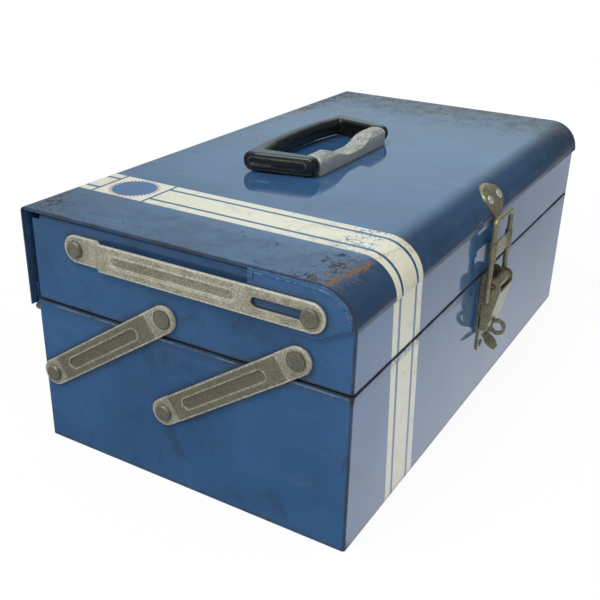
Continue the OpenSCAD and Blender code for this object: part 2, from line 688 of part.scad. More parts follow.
// ---------------------------------------------------------------- output
box_wrap();
box_end_l();
box_end_r();
hinge_leaf_box();
hinge_pin();
lower_rivets();
latch_base();
padlock_eye();
latch_base_rivets();
lever_pin();
tray_shell();
upper_rivets();
link_rivets();
rear_arm_l();
rear_arm_r();
front_arm_l();
front_arm_r();
link_l();
link_r();
slot_studs();
lid_shell();
lid_gusset_l();
lid_gusset_r();
hinge_leaf_lid();
stud_heads();
handle_bracket();
handle_plate();
handle_screws();
handle_pins();
handle_grip();
strike_plate();
strike_rivets();
latch_lever();
latch_bail();
bail_sleeve();
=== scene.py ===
import logging
import math
from collections.abc import Callable, Iterator, Sequence
from contextlib import contextmanager
from dataclasses import dataclass, field, replace
from enum import Enum
from itertools import cycle

import bmesh
import bpy
from mathutils import Matrix, Vector


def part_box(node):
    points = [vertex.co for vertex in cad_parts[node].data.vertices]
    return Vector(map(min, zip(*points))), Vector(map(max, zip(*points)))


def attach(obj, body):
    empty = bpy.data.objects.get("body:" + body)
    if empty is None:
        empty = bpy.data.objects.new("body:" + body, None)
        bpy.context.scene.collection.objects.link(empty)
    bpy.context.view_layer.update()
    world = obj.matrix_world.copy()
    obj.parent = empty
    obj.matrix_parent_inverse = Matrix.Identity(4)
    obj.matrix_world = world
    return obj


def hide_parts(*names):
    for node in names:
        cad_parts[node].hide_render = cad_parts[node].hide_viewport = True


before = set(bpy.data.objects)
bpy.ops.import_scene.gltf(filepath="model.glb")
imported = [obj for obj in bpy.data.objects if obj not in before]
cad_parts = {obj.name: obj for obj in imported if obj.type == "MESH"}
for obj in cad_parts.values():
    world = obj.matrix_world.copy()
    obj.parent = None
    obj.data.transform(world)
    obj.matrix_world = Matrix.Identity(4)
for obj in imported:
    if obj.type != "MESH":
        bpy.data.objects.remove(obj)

log = logging.getLogger("tool_box")

MM = 0.001
DOUBLE = 0.002  # vertices closer than this, in millimetres, are one
FLAT = 0.05  # faces that meet at less than this, in degrees, are one
CRISP = 35.0  # edges sharper than this, in degrees, aren't shaded smooth
Pair = tuple[float, float]
Triple = tuple[float, float, float]
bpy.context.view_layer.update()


def mm(*values: float) -> Vector:
    """Turn millimetres into a vector in metres."""
    return Vector([value * MM for value in values])


# ------------------------------------------------------------------ modelling
def deselect_all() -> None:
    """Clear the selection, which every operator below would otherwise act on."""
    bpy.ops.object.select_all(action="DESELECT")


def make_active(piece: bpy.types.Object) -> None:
    """Select one piece alone and make it the active one.

    Args:
        piece: The object that the next operator works on.
    """
    deselect_all()
    piece.select_set(True)
    bpy.context.view_layer.objects.active = piece


def apply_modifiers(piece: bpy.types.Object) -> None:
    """Apply every modifier of a piece, first to last.

    Args:
        piece: The object whose modifiers become part of its mesh.
    """
    make_active(piece)
    for name in [modifier.name for modifier in piece.modifiers]:
        bpy.ops.object.modifier_apply(modifier=name)


def place_in_mesh(piece: bpy.types.Object) -> None:
    """Move a piece's place, turn and scale into its mesh."""
    make_active(piece)
    bpy.ops.object.transform_apply(location=True, rotation=True, scale=True)


@contextmanager
def editing(piece: bpy.types.Object) -> Iterator[None]:
    """Keep one piece alone in edit mode while a with block runs.

    Args:
        piece: The object that is edited.
    """
    make_active(piece)
    bpy.ops.object.mode_set(mode="EDIT")
    yield
    bpy.ops.object.mode_set(mode="OBJECT")


def pick(piece: bpy.types.Object, rule: Callable[[Vector], bool]) -> None:
    """Select the vertices of a piece in edit mode, and only those, whose places fit a rule.

    Args:
        piece: The object in edit mode.
        rule: Tells from a vertex's place whether it is selected.
    """
    mesh = bmesh.from_edit_mesh(piece.data)
    for vertex in mesh.verts:
        vertex.select_set(rule(vertex.co))
    mesh.select_flush_mode()
    bmesh.update_edit_mesh(piece.data)


def weld(piece: bpy.types.Object, flat: float) -> None:
    """Merge a piece's doubles and dissolve the edges inside its flat faces.

    Args:
        piece: The object whose mesh is cleaned.
        flat: The angle in degrees below which two faces count as one, or 0 to keep them all.
    """
    with editing(piece):
        bpy.ops.mesh.select_all(action="SELECT")
        bpy.ops.mesh.remove_doubles(threshold=DOUBLE * MM)
        if flat:
            bpy.ops.mesh.dissolve_limited(angle_limit=math.radians(flat))


def solid_copy(node: str, name: str, flat: float = FLAT) -> bpy.types.Object:
    """Copy a CAD node's mesh into a new, merged piece made of whole faces.

    Args:
        node: The CAD node that is copied.
        name: The new piece's name.
        flat: The angle in degrees below which two faces count as one, or 0 to keep them all.

    Returns:
        The copy, at the origin, riding on nothing yet.
    """
    piece = bpy.data.objects.new(name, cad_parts[node].data.copy())
    piece.data.name = name
    piece.data.materials.clear()
    bpy.context.scene.collection.objects.link(piece)
    weld(piece, flat)
    return piece


def join(pieces: Sequence[bpy.types.Object], name: str) -> bpy.types.Object:
    """Join several pieces into the first one.

    Args:
        pieces: The objects that become one.
        name: The name of the joined piece.

    Returns:
        The joined piece.
    """
    make_active(pieces[0])
    for other in pieces[1:]:
        other.select_set(True)
    bpy.ops.object.join()
    pieces[0].name = name
    return pieces[0]


@dataclass(frozen=True)
class EdgeRound:
    """How the sharp edges of a sheet or cast piece are rounded.

    Attributes:
        width: Width of the rounding in millimetres.
        segments: Number of faces across it.
        angle: Only edges sharper than this many degrees are rounded.
        worn: Whether the rounding takes the piece's second material.
    """

    width: float = 0.3
    segments: int = 2
    angle: float = 28.0
    worn: bool = False


def round_edges(piece: bpy.types.Object, edge: EdgeRound) -> None:
    """Round the edges of a piece and shade it smooth between them.

    Args:
        piece: The object that is finished.
        edge: The rounding.
    """
    modifier = piece.modifiers.new("edge", "BEVEL")
    modifier.width = edge.width * MM
    modifier.segments = edge.segments
    modifier.limit_method = "ANGLE"
    modifier.angle_limit = math.radians(edge.angle)
    modifier.use_clamp_overlap = True
    modifier.miter_outer = "MITER_ARC"
    modifier.material = 1 if edge.worn else -1
    apply_modifiers(piece)
    shade(piece)


def shade(piece: bpy.types.Object) -> None:
    """Shade a piece smooth, with its sharper edges crisp and its flat faces flat.

    Args:
        piece: The object that is shaded.
    """
    make_active(piece)
    bpy.ops.object.shade_smooth_by_angle(angle=math.radians(CRISP))
    modifier = piece.modifiers.new("flats", "WEIGHTED_NORMAL")
    modifier.keep_sharp = True
    modifier.weight = 80
    apply_modifiers(piece)


def dress(piece: bpy.types.Object, *materials: bpy.types.Material) -> None:
    """Give a piece its materials.

    Args:
        piece: The object that is dressed.
        materials: Its materials, in the order of their slots.
    """
    piece.data.materials.clear()
    for material in materials:
        piece.data.materials.append(material)


def dress_node(node: str, material: bpy.types.Material) -> None:
    """Give a CAD node that stays as it is a better material.

    Args:
        node: The node's name.
        material: Its new material.
    """
    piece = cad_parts[node]
    for slot in piece.material_slots:
        slot.material = material
    if not piece.material_slots:
        piece.data.materials.append(material)


def settle(piece: bpy.types.Object, body: str, slot: str, *nodes: str) -> None:
    """Hang a finished piece on its body in place of the nodes it stands for.

    Args:
        piece: The finished object.
        body: The body that it moves with.
        slot: The record's material slot; not used.
        nodes: The CAD nodes that it replaces.
    """
    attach(piece, body)
    if nodes:
        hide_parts(*nodes)
    log.info("%s: %d faces on %s", piece.name, len(piece.data.polygons), body)


# ------------------------------------------------------------------ shader tools
class Value:
    """A shader value or colour. Arithmetic on it adds Math nodes to its graph."""

    def __init__(self, graph: "Graph", socket: bpy.types.NodeSocket) -> None:
        """Stand for one output of one node."""
        self.graph = graph
        self.socket = socket

    def __add__(self, other: "Input") -> "Value":
        """Add a value or a number."""
        return self.graph.math("ADD", self, other)

    def __sub__(self, other: "Input") -> "Value":
        """Take a value or a number away."""
        return self.graph.math("SUBTRACT", self, other)

    def __rsub__(self, other: float) -> "Value":
        """Take this value away from a number."""
        return self.graph.math("SUBTRACT", other, self)

    def __mul__(self, other: "Input") -> "Value":
        """Multiply by a value or a number."""
        return self.graph.math("MULTIPLY", self, other)

    def __abs__(self) -> "Value":
        """Drop the sign."""
        return self.graph.math("ABSOLUTE", self)

    def step(self, low: "Input", high: "Input", start: float = 0.0, end: float = 1.0) -> "Value":
        """Fade smoothly from start to end while this value goes from low to high."""
        inputs = {"Value": self, "From Min": low, "From Max": high, "To Min": start, "To Max": end}
        return self.graph.get("ShaderNodeMapRange", inputs, interpolation_type="SMOOTHSTEP")

    def band(self, low: "Input", high: "Input", soft: float) -> "Value":
        """Return 1 while this value is between low and high and 0 outside, with soft edges."""
        return self.step(low - soft, low + soft) * self.step(high - soft, high + soft, 1.0, 0.0)

    def between(self, start: "Input", end: "Input") -> "Value":
        """Return what lies this share of the way from start to end."""
        return self * (end - start) + start


Input = Value | float


class Graph:
    """A node tree with short ways to add the nodes that the finishes need."""

    def __init__(self, tree: bpy.types.NodeTree) -> None:
        """Empty a tree and start on it."""
        self.tree = tree
        tree.nodes.clear()

    def add(self, kind: str, inputs: dict | None = None, **settings: object) -> bpy.types.Node:
        """Add a node, set its properties, and fill or link its inputs.

        Args:
            kind: The node's type name.
            inputs: Shader values or plain ones, by input name or index. A plain colour has no alpha.
            settings: Properties of the node.

        Returns:
            The new node.
        """
        node = self.tree.nodes.new(kind)
        for key, value in settings.items():
            setattr(node, key, value)
        for key, value in (inputs or {}).items():
            socket = node.inputs[key]
            if isinstance(value, Value):
                self.tree.links.new(value.socket, socket)
            else:
                socket.default_value = (*value, 1.0) if socket.type == "RGBA" else value
        return node

    def get(self, kind: str, inputs: dict | None = None, output: str | int = 0, **settings: object) -> Value:
        """Add a node as above and return one of its outputs."""
        return Value(self, self.add(kind, inputs, **settings).outputs[output])

    def math(self, operation: str, a: Input, b: Input = 0.0) -> Value:
        """Add a Math node and return its result."""
        return self.get("ShaderNodeMath", {0: a, 1: b}, operation=operation)

    def most(self, first: Input, *others: Input) -> Value:
        """Return the highest of several values.

        Args:
            first: A value or a number.
            others: Further ones.

        Returns:
            The highest.
        """
        for other in others:
            first = self.math("MAXIMUM", first, other)
        return first

    def past(self, value: Value, middle: Input, reach: Input) -> Value:
        """Return how far a value lies outside a stretch of that half length round its middle."""
        return self.most(abs(value - middle) - reach, 0.0)

    def spread(self, a: Value, b: Value) -> Value:
        """Return the length of a line from its two legs."""
        return self.math("SQRT", a * a + b * b)

    def noise(self, vector: Value, scale: Input, detail: float, rough: float, bend: float = 0.0) -> Value:
        """Add a noise texture and return its value.

        Args:
            vector: The coordinates.
            scale: Waves per millimetre.
            detail: Octaves.
            rough: Weight of the finer octaves.
            bend: Distortion.

        Returns:
            A value that stays around 0.5.
        """
        inputs = {"Vector": vector, "Scale": scale, "Detail": detail, "Roughness": rough, "Distortion": bend}
        return self.get("ShaderNodeTexNoise", inputs)

    def cover(self, colour: Value | Triple, *layers: tuple[Input, Value | Triple]) -> Value:
        """Lay colours over one another.

        Args:
            colour: The lowest colour.
            layers: The share and the colour of each layer, from below.

        Returns:
            The colour on top.
        """
        for share, top in layers:
            inputs = {"Factor": share, 6: colour, 7: top}
            colour = self.get("ShaderNodeMix", inputs, 2, data_type="RGBA")
        return colour

    def place(self, shift: Triple = (0, 0, 0), scale: Triple = (1, 1, 1), turn: Triple = (0, 0, 0)) -> Value:
        """Read Object coordinates in millimetres through a mapping.

        Args:
            shift: Added after the scale, in millimetres.
            scale: Further scale on each axis.
            turn: Turn about each axis, in degrees.

        Returns:
            The mapped coordinates.
        """
        inputs = {
            "Vector": self.get("ShaderNodeTexCoord", output="Object"),
            "Location": shift,
            "Rotation": [math.radians(angle) for angle in turn],
            "Scale": [value / MM for value in scale],
        }
        return self.get("ShaderNodeMapping", inputs)

    def split(self, vector: Value) -> list[Value]:
        """Return the X, Y and Z of a vector."""
        return [Value(self, output) for output in self.add("ShaderNodeSeparateXYZ", {0: vector}).outputs]

    def bump(self, height: Value, strength: float, distance: float, **below: Value) -> Value:
        """Turn a height into a normal.

        Args:
            height: The height.
            strength: Share of the effect.
            distance: Height of a full step, in millimetres.
            below: The Normal that it builds on, if there is one.

        Returns:
            The normal.
        """
        inputs = {"Height": height, "Strength": strength, "Distance": distance * MM}
        return self.get("ShaderNodeBump", inputs | below)

    def use(self, group: bpy.types.NodeTree, **inputs: Input) -> dict[str, Value]:
        """Place a shared effect with its inputs and return its results by name."""
        node = self.add("ShaderNodeGroup", inputs, node_tree=group)
        return {output.name: Value(self, output) for output in node.outputs}


class Effect(Graph):
    """A shader node group that is built once and placed in many materials."""

    def __init__(self, name: str, **inputs: float | None) -> None:
        """Start a group with named inputs.

        Args:
            name: The group's name.
            inputs: The value that each input has if nothing else is given, or None for a vector.
        """
        super().__init__(bpy.data.node_groups.new(name, "ShaderNodeTree"))
        for label, default in inputs.items():
            kind = "NodeSocketVector" if default is None else "NodeSocketFloat"
            socket = self.tree.interface.new_socket(name=label, in_out="INPUT", socket_type=kind)
            if default is not None:
                socket.default_value = default
        source = self.add("NodeGroupInput")
        self.given = [Value(self, source.outputs[label]) for label in inputs]

    def close(self, **results: Value) -> bpy.types.NodeTree:
        """Name the group's results.

        Args:
            results: The values that the group hands out.

        Returns:
            The finished group.
        """
        for label in results:
            self.tree.interface.new_socket(name=label, in_out="OUTPUT", socket_type="NodeSocketFloat")
        self.add("NodeGroupOutput", results)
        return self.tree


def make_chips_group() -> bpy.types.NodeTree:
    """Build the group that scatters chips and stains, closer together where Density is high.

    Returns:
        The group, with a mask of sharp chips and one of soft stains.
    """
    group = Effect("chips", Vector=None, Scale=0.25, Density=0.3)
    vector, scale, density = group.given
    coarse = group.noise(vector, scale * 0.17, 3.0, 0.5)
    lift = coarse * 0.30 + group.noise(vector, scale, 5.0, 0.62, 0.4)
    limit = density * -0.30 + 0.96
    chips = lift.step(limit, limit + 0.018)
    return group.close(Chips=chips, Stain=lift.step(limit - 0.10, limit + 0.04))


def make_scratch_group() -> bpy.types.NodeTree:
    """Build the group that draws thin scratches along one direction of its coordinates.

    Returns:
        The group, with a mask of the scratches.
    """
    group = Effect("scratches", Vector=None, Scale=0.05, Amount=0.5)
    vector, scale, amount = group.given
    long_cells = group.get("ShaderNodeMapping", {"Vector": vector, "Scale": (1.0, 0.16, 1.0)})
    inputs = {"Vector": long_cells, "Scale": scale, "Randomness": 1.0}
    aside = group.get("ShaderNodeTexVoronoi", inputs, "Distance", feature="DISTANCE_TO_EDGE")
    limit = amount * -0.35 + 0.78
    shown = group.noise(vector, 0.045, 2.0, 0.5).step(limit, limit + 0.06)
    return group.close(Scratches=aside.step(0.0, 0.012, 1.0, 0.0) * shown)


def make_mottle_group() -> bpy.types.NodeTree:
    """Build the group that gives an uneven surface its broad and fine variation.

    Returns:
        The group, with a broad and a fine value around 0.5.
    """
    group = Effect("mottle", Vector=None, Broad=0.02, Fine=0.5)
    vector, broad, fine = group.given
    return group.close(Broad=group.noise(vector, broad, 3.0, 0.55), Fine=group.noise(vector, fine, 4.0, 0.6))


def make_pressing_group() -> bpy.types.NodeTree:
    """Build the group that finds the pressed groove, its rim and the outer edge of a long piece.

    Returns:
        The group, with masks of the groove's floor, its raised rim, the piece's edge and its body.
    """
    sizes = {"Length": 100.0, "Start": 20.0, "End": 80.0, "Half": 3.4, "Edge": 9.0}
    group = Effect("pressing", Along=0.0, Across=0.0, **sizes)
    along, across, length, start, end, half, edge = group.given
    inner = group.spread(group.past(along, (start + end) * 0.5, (end - start) * 0.5), across) - half
    inside = edge - group.spread(group.past(along, length * 0.5, length * 0.5), across)
    first_end, last_end = 10.5, 12.5
    return group.close(
        Groove=inner.step(-2.0, -0.5, 1.0, 0.0),
        Rim=inner.band(0.35, 1.0, 0.60),
        Border=inside.step(0.5, 1.5, 1.0, 0.0),
        Body=along.band(first_end, length - last_end, 0.6),
    )


@dataclass
class Effects:
    """The shared effects that every finish may place in its material."""

    chips: bpy.types.NodeTree = field(default_factory=make_chips_group)
    scratches: bpy.types.NodeTree = field(default_factory=make_scratch_group)
    mottle: bpy.types.NodeTree = field(default_factory=make_mottle_group)
    pressing: bpy.types.NodeTree = field(default_factory=make_pressing_group)


class Skin(Graph):
    """The graph of one material, with what its layers read.

    Attributes:
        effects: The shared effects.
        vector: Object coordinates in millimetres for the patterns, shifted by the material's seed.
        x: Place along the box in millimetres: its near end is at -215 and its far end at 215.
        y: Place from front to rear: the box is from -110 to 123, the lid's bend from -111 to -88.
        z: Height: the box's rim is at 105.5, the tray's foot at 106.9, the lid's top at 169.2.
    """

    def __init__(self, tree: bpy.types.NodeTree, effects: Effects, seed: float) -> None:
        """Start a material.

        Args:
            tree: The material's node tree.
            effects: The shared effects.
            seed: Shift of the patterns, in millimetres.
        """
        super().__init__(tree)
        self.effects = effects
        self.vector = self.place(shift=(seed, seed * 0.7, seed * 1.3))
        self.x, self.y, self.z = self.split(self.place())


# ------------------------------------------------------------------ finishes
def scaled(colour: Triple, *shares: float) -> Triple:
    """Multiply a colour by one share, or its red, green and blue by a share each."""
    return tuple(value * share for value, share in zip(colour, cycle(shares)))


@dataclass(frozen=True)
class Finish:
    """A material that is one Principled shader, fed by layers.

    Attributes:
        name: The material's name.
        seed: Shift of its patterns, in millimetres.
    """

    name: str
    seed: float = field(default=0.0, kw_only=True)

    def build(self, effects: Effects) -> bpy.types.Material:
        """Build the material.

        Args:
            effects: The shared effects.

        Returns:
            The material.
        """
        material = bpy.data.materials.new(self.name)
        material.use_nodes = True
        skin = Skin(material.node_tree, effects, self.seed)
        shader = skin.get("ShaderNodeBsdfPrincipled", self.layers(skin))
        skin.add("ShaderNodeOutputMaterial", {"Surface": shader})
        return material

    def layers(self, skin: Skin) -> dict[str, Input]:
        """Return what each input of the shader gets, by name."""
        raise NotImplementedError


@dataclass(frozen=True)
class Pressing:
    """Where an arm or link and its pressed groove lie, at rest.

    Attributes:
        start: The first pivot, as (y, z) in millimetres.
        turn: Direction from the first to the second pivot, in degrees from +Y towards +Z.
        length: Distance between the pivots.
        groove: Where the groove starts and ends along the piece.
        dark: How much darker the body is than the ends.
    """

    start: Pair
    turn: float
    length: float
    groove: Pair
    dark: float = 0.0

    def measure(self, skin: Skin) -> tuple[Value, Value]:
        """Measure a place from the first pivot.

        Args:
            skin: The material that is built.

        Returns:
            The distances along the piece and across it.
        """
        from_y, from_z = skin.y - self.start[0], skin.z - self.start[1]
        cosine, sine = math.cos(math.radians(self.turn)), math.sin(math.radians(self.turn))
        return from_y * cosine + from_z * sine, from_z * cosine - from_y * sine


REAR_ARM = Pressing((112.6, 53.6), 145.5, 115.7, (23.5, 87.2), 0.58)
FRONT_ARM = replace(REAR_ARM, start=(19.6, 53.6))
LINK = Pressing((83.2, 149.4), 180.0, 168.3, (34.0, 116.3))


class Decal(Enum):
    """What is printed on a painted part."""

    NONE = "none"
    LID = "lid"
    FRONT = "front"


@dataclass(frozen=True)
class Stripe:
    """The printed stripe: a cream band with two thin blue lines.

    Attributes:
        start: Where its near side lies along the box, in millimetres.
        width: Its width.
        margin: Distance from its sides to the lines.
        line: Width of the lines.
        lean: How far it leans to the far end for each millimetre below the seam.
        shown: How bright its cream is: lighter on the lid and darker on the front, as painted light and
            shade.
    """

    start: float
    width: float
    margin: float
    line: float
    lean: float
    shown: float


@dataclass(frozen=True)
class Enamel(Finish):
    """Glossy blue enamel on sheet steel, chipped, scuffed and printed with a stripe.

    Attributes:
        tint: Colour of the paint.
        decal: What is printed on it.
        wear: How thickly chips lie where nothing wears it, from 0 to 1.
    """

    tint: Triple = (0.034, 0.098, 0.214)
    decal: Decal = Decal.NONE
    wear: float = 0.03

    RUST = (0.075, 0.040, 0.024)
    # dark colour of dirt, and of the painted shade at the seam, on the lid's end edges and round the arms
    GRIME_AND_SHADE = (0.020, 0.022, 0.026)
    PRIMER = (0.15, 0.145, 0.13)
    CREAM = (0.63, 0.615, 0.50)
    LINE = (0.024, 0.078, 0.175)
    EMBLEM_RING = (0.42, 0.08, 0.07)
    EMBLEM_DISC = (0.022, 0.080, 0.230)
    TAN = (0.17, 0.145, 0.10)
    DUST = (0.16, 0.20, 0.24)
    # colour of the painted highlight along the box's rim under the seam
    SEAM_HIGHLIGHT = (0.16, 0.26, 0.40)
    BROWN = (0.160, 0.090, 0.050)
    # the lid's stripe is painted lighter and the front's darker, as painted light and shade
    STRIPES = {
        Decal.LID: Stripe(-168.5, 37.0, 6.5, 2.6, 0.0, 1.07),
        Decal.FRONT: Stripe(-166.5, 40.5, 7.4, 3.2, 0.068, 0.90),
    }

    def layers(self, skin: Skin) -> dict[str, Input]:
        """Lay paint, print, scuffs, dirt with painted shade, chips and scratches, and a painted highlight
        under the seam, from below.

        Args:
            skin: The material that is built.

        Returns:
            What each input of the shader gets, by name.
        """
        on_lid = self.decal is Decal.LID
        vector = skin.vector
        mottle = skin.use(skin.effects.mottle, Vector=vector, Broad=0.012, Fine=0.35)
        outside = self.outside_mask(skin)
        worn = self.worn_mask(skin) * outside if on_lid else self.worn_mask(skin)
        density = worn * 0.75 + self.wear
        chips = skin.use(skin.effects.chips, Vector=vector, Scale=0.24, Density=density)
        specks = skin.use(skin.effects.chips, Vector=vector, Scale=0.75, Density=density)
        across = skin.place(turn=(20, 10, 35))
        scratches = skin.use(skin.effects.scratches, Vector=across, Scale=0.035, Amount=0.55)
        deeper = scaled(self.tint, 0.76)
        colour = skin.cover(deeper, (mottle["Broad"].step(0.3, 0.7), self.tint))
        if on_lid:
            # the lid is darker over its front bend and lip
            colour = skin.cover(colour, (skin.y.step(-87.0, -99.0, 0.0, 0.46) * outside, self.GRIME_AND_SHADE))
        if self.decal is not Decal.NONE:
            colour = self.print_decal(skin, colour, outside)
        ragged = skin.noise(vector, 0.10, 8.0, 0.74, 0.9)
        scuff = worn * ragged.step(0.47, 0.66)
        cloud = skin.noise(vector, 0.06, 4.0, 0.6).step(0.35, 0.65, 0.55, 1.0)
        # dirt and painted shade, broken up into clouds
        dirt_and_shade = self.dirt_and_shade_mask(skin) * cloud
        brushed = skin.noise(skin.place(scale=(1.0, 0.22, 1.0), turn=(0, 0, 24)), 0.09, 7.0, 0.72)
        smudge = skin.noise(vector, 0.035, 7.0, 0.70, 0.5).step(0.53, 0.70, 0.0, 0.34)
        gone = skin.most(chips["Chips"], specks["Chips"])
        rusty = skin.cover(self.GRIME_AND_SHADE, (mottle["Fine"].step(0.48, 0.62), self.RUST))
        colour = skin.cover(
            colour,
            (scuff * 0.42, self.PRIMER),
            (dirt_and_shade, self.GRIME_AND_SHADE),
            (brushed.step(0.54, 0.72, 0.0, 0.22 if on_lid else 0.10), self.DUST),
            (smudge, self.GRIME_AND_SHADE),
            (chips["Stain"] * 0.40, self.GRIME_AND_SHADE),
            (gone * 0.9, rusty),
            (scratches["Scratches"] * 0.42, self.GRIME_AND_SHADE),
        )
        if on_lid:
            rubbed = self.rim_mask(skin) * outside * ragged.step(0.46, 0.60)
            crease = self.crease_mask(skin) * outside
            colour = skin.cover(colour, (rubbed, self.TAN), (crease, self.BROWN))
            gone = skin.most(gone, crease, rubbed)
        else:
            # a painted highlight along the lower box's rim just below the seam, broken up by noise
            broken = skin.noise(vector, 0.10, 4.0, 0.6).step(0.42, 0.56, 0.1, 0.6)
            lip_highlight = skin.z.band(103.7, 104.5, 0.35) * skin.y.step(-107.5, -106.5) * broken
            colour = skin.cover(colour, (lip_highlight, self.SEAM_HIGHLIGHT))
        rough = skin.most(gone, dirt_and_shade) * 0.72 + scuff * 0.50 + mottle["Fine"] * 0.06 + 0.04
        wave = skin.bump(skin.noise(vector, 0.016, 1.0, 0.4), 1.0, 0.30)
        peel = skin.bump(skin.noise(vector, 0.55, 2.0, 0.5), 0.15, 0.02, Normal=wave)
        return {
            "Base Color": colour,
            "Roughness": skin.math("MINIMUM", rough, 0.92),
            "Normal": skin.bump(gone, 0.5, -0.06, Normal=peel),
        }

    def outside_mask(self, skin: Skin) -> Input:
        """Return where a printed sheet's outer face lies: not on its back.

        Args:
            skin: The material that is built.

        Returns:
            A mask from 0 to 1.
        """
        if self.decal is Decal.NONE:
            return 1.0
        if self.decal is Decal.FRONT:
            return skin.y.step(-109.2, -109.5)
        bend_y, bend_z, bend_radius = -87.7, 145.6, 23.15
        forward, upward = skin.most(bend_y - skin.y, 0.0), skin.most(skin.z - bend_z, 0.0)
        shell = skin.spread(forward, upward).step(bend_radius - 0.1, bend_radius + 0.1)
        return skin.most(shell, skin.y.step(126.5, 126.8))

    def worn_mask(self, skin: Skin) -> Value:
        """Return where the paint is worn most: along the edges of the part.

        Args:
            skin: The material that is built.

        Returns:
            A mask from 0 to 1.
        """
        x, y, z = skin.x, skin.y, skin.z
        if self.decal is not Decal.LID:
            return skin.most(z.step(0.0, 8.0, 0.30, 0.0), z.band(99.0, 112.0, 4.0) * 0.22)
        near = x.step(-160.0, -178.0)
        total = near * 0.48 + y.step(92.0, 126.0) * 0.52
        total += near * y.step(-20.0, -92.0) * 0.24
        total += near * y.band(-94.0, -74.0, 14.0) * 0.36
        total += y.step(70.0, 122.0) * x.step(-185.0, -205.0) * 0.30
        total += x.step(80.0, 205.0) * 0.62
        return skin.math("MINIMUM", total * z.step(160.0, 167.5), 1.0)

    def dirt_and_shade_mask(self, skin: Skin) -> Value:
        """Return where dirt lies and where shade is painted: dirt and painted shade at the seam, dirt along
        the front corners, painted shade on the lid's end edges, and dirt with painted contact shadow round
        the arms; the lid is also darker round the bracket's foot and low on its front and rear.

        Args:
            skin: The material that is built.

        Returns:
            A mask from 0 to 1.
        """
        x, y, z = skin.x, skin.y, skin.z
        end = abs(x)
        if self.decal is Decal.LID:
            rear = y.step(96.0, 124.0) * x.step(40.0, 200.0) * z.step(160.0, 168.0, 0.25, 1.0)
            rear = skin.most(rear, x.step(90.0, 214.0, 0.0, 0.75))
            near = x.step(-165.0, -185.0) * z.step(166.0, 168.5)
            # painted shade along the lid's end edges
            side = end.step(216.1, 216.8) * z.step(145.0, 147.0)
            total = near * 0.30 + rear * 0.58 + self.foot_mask(skin) * 0.40
            return skin.most(total, side * 0.85) + z.step(150.0, 145.6) * 0.35
        # dirt below the seam, and painted shade in the seam's gap and on the tray's foot just above it
        below = z.step(106.6, 106.2)
        total = z.step(96.0, 103.5) * below * 0.24
        total += z.step(108.3, 107.5) * (1.0 - below) * 0.8
        total += z.step(104.5, 105.0) * below * 0.75
        total += z.step(4.0, 0.0) * 0.4
        # dirt and painted contact shadow round the arms and links
        total += self.dirt_and_shadow_halo_mask(skin) * 0.36
        total += end.step(213.0, 213.8) * y.step(-107.9, -108.7) * 0.85
        return skin.math("MINIMUM", total, 1.0)

    @staticmethod
    def dirt_and_shadow_halo_mask(skin: Skin) -> Value:
        """Return where dirt and painted contact shadow lie on the ends around the folded arms and links.

        Args:
            skin: The material that is built.

        Returns:
            A mask from 0 to 1.
        """
        halos = []
        for bar in (REAR_ARM, FRONT_ARM, LINK):
            along, across = bar.measure(skin)
            away = skin.spread(skin.past(along, bar.length / 2, bar.length / 2), across)
            halos.append(away.step(9.0, 13.5, 1.0, 0.0))
        return skin.most(*halos) * abs(skin.x).step(213.4, 214.2)

    @staticmethod
    def foot_mask(skin: Skin) -> Value:
        """Return where the lid is darker round the foot of the handle's bracket.

        Args:
            skin: The material that is built.

        Returns:
            A mask from 0 to 1.
        """
        low, high = (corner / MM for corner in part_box("handle_bracket"))
        middle, reach = (low + high) / 2, (high - low) / 2
        away = skin.spread(skin.past(skin.x, middle.x, reach.x), skin.past(skin.y, middle.y, reach.y + 1.0))
        return away.step(0.5, 3.0, 1.0, 0.0)

    @staticmethod
    def rim_mask(skin: Skin) -> Value:
        """Return where the lid's rear edge and far end are rubbed down to a tan film."""
        rim = skin.y.step(104.0, 125.0) * skin.x.step(-60.0, 190.0, 0.15, 0.70)
        return skin.most(rim, skin.x.step(140.0, 212.0, 0.0, 0.75)) * skin.z.step(158.0, 168.6)

    @staticmethod
    def crease_mask(skin: Skin) -> Value:
        """Return the rusty line where the paint is rubbed off along the lid's front crease.

        Args:
            skin: The material that is built.

        Returns:
            A mask from 0 to 1.
        """
        x, vector = skin.x, skin.vector
        line = (x + 214.7) * 0.11 + skin.y
        ragged = (skin.noise(vector, 0.30, 5.0, 0.7) - 0.5) * 11.0 + line
        core = ragged.band(-93.9, -91.0, 0.9) * x.band(-219.0, -173.0, 4.0)
        thin = ragged.band(-91.6, -91.0, 0.4) * x.band(-176.0, -126.0, 3.0)
        aside = line.band(-97.0, -84.0, 3.0) * x.band(-219.0, -186.0, 6.0)
        patch = skin.noise(vector, 0.22, 5.0, 0.7).step(0.52, 0.60)
        broken = skin.noise(vector, 0.8, 3.0, 0.6).step(0.33, 0.46)
        return skin.most(core, thin * 0.75, aside * patch * 0.55) * skin.z.step(164.0, 166.5) * broken

    def print_decal(self, skin: Skin, paint: Value, outside: Input) -> Value:
        """Lay the cream stripe with its two thin lines, and the round emblem, over the paint.

        Args:
            skin: The material that is built.
            paint: The colour under the print.
            outside: Where the sheet's outer face lies.

        Returns:
            The new colour.
        """
        stripe = self.STRIPES[self.decal]
        across = skin.x - stripe.start - (106.0 - skin.z) * stripe.lean
        inner = stripe.margin + stripe.line
        first = across.band(stripe.margin, inner, 0.25)
        second = across.band(stripe.width - inner, stripe.width - stripe.margin, 0.25)
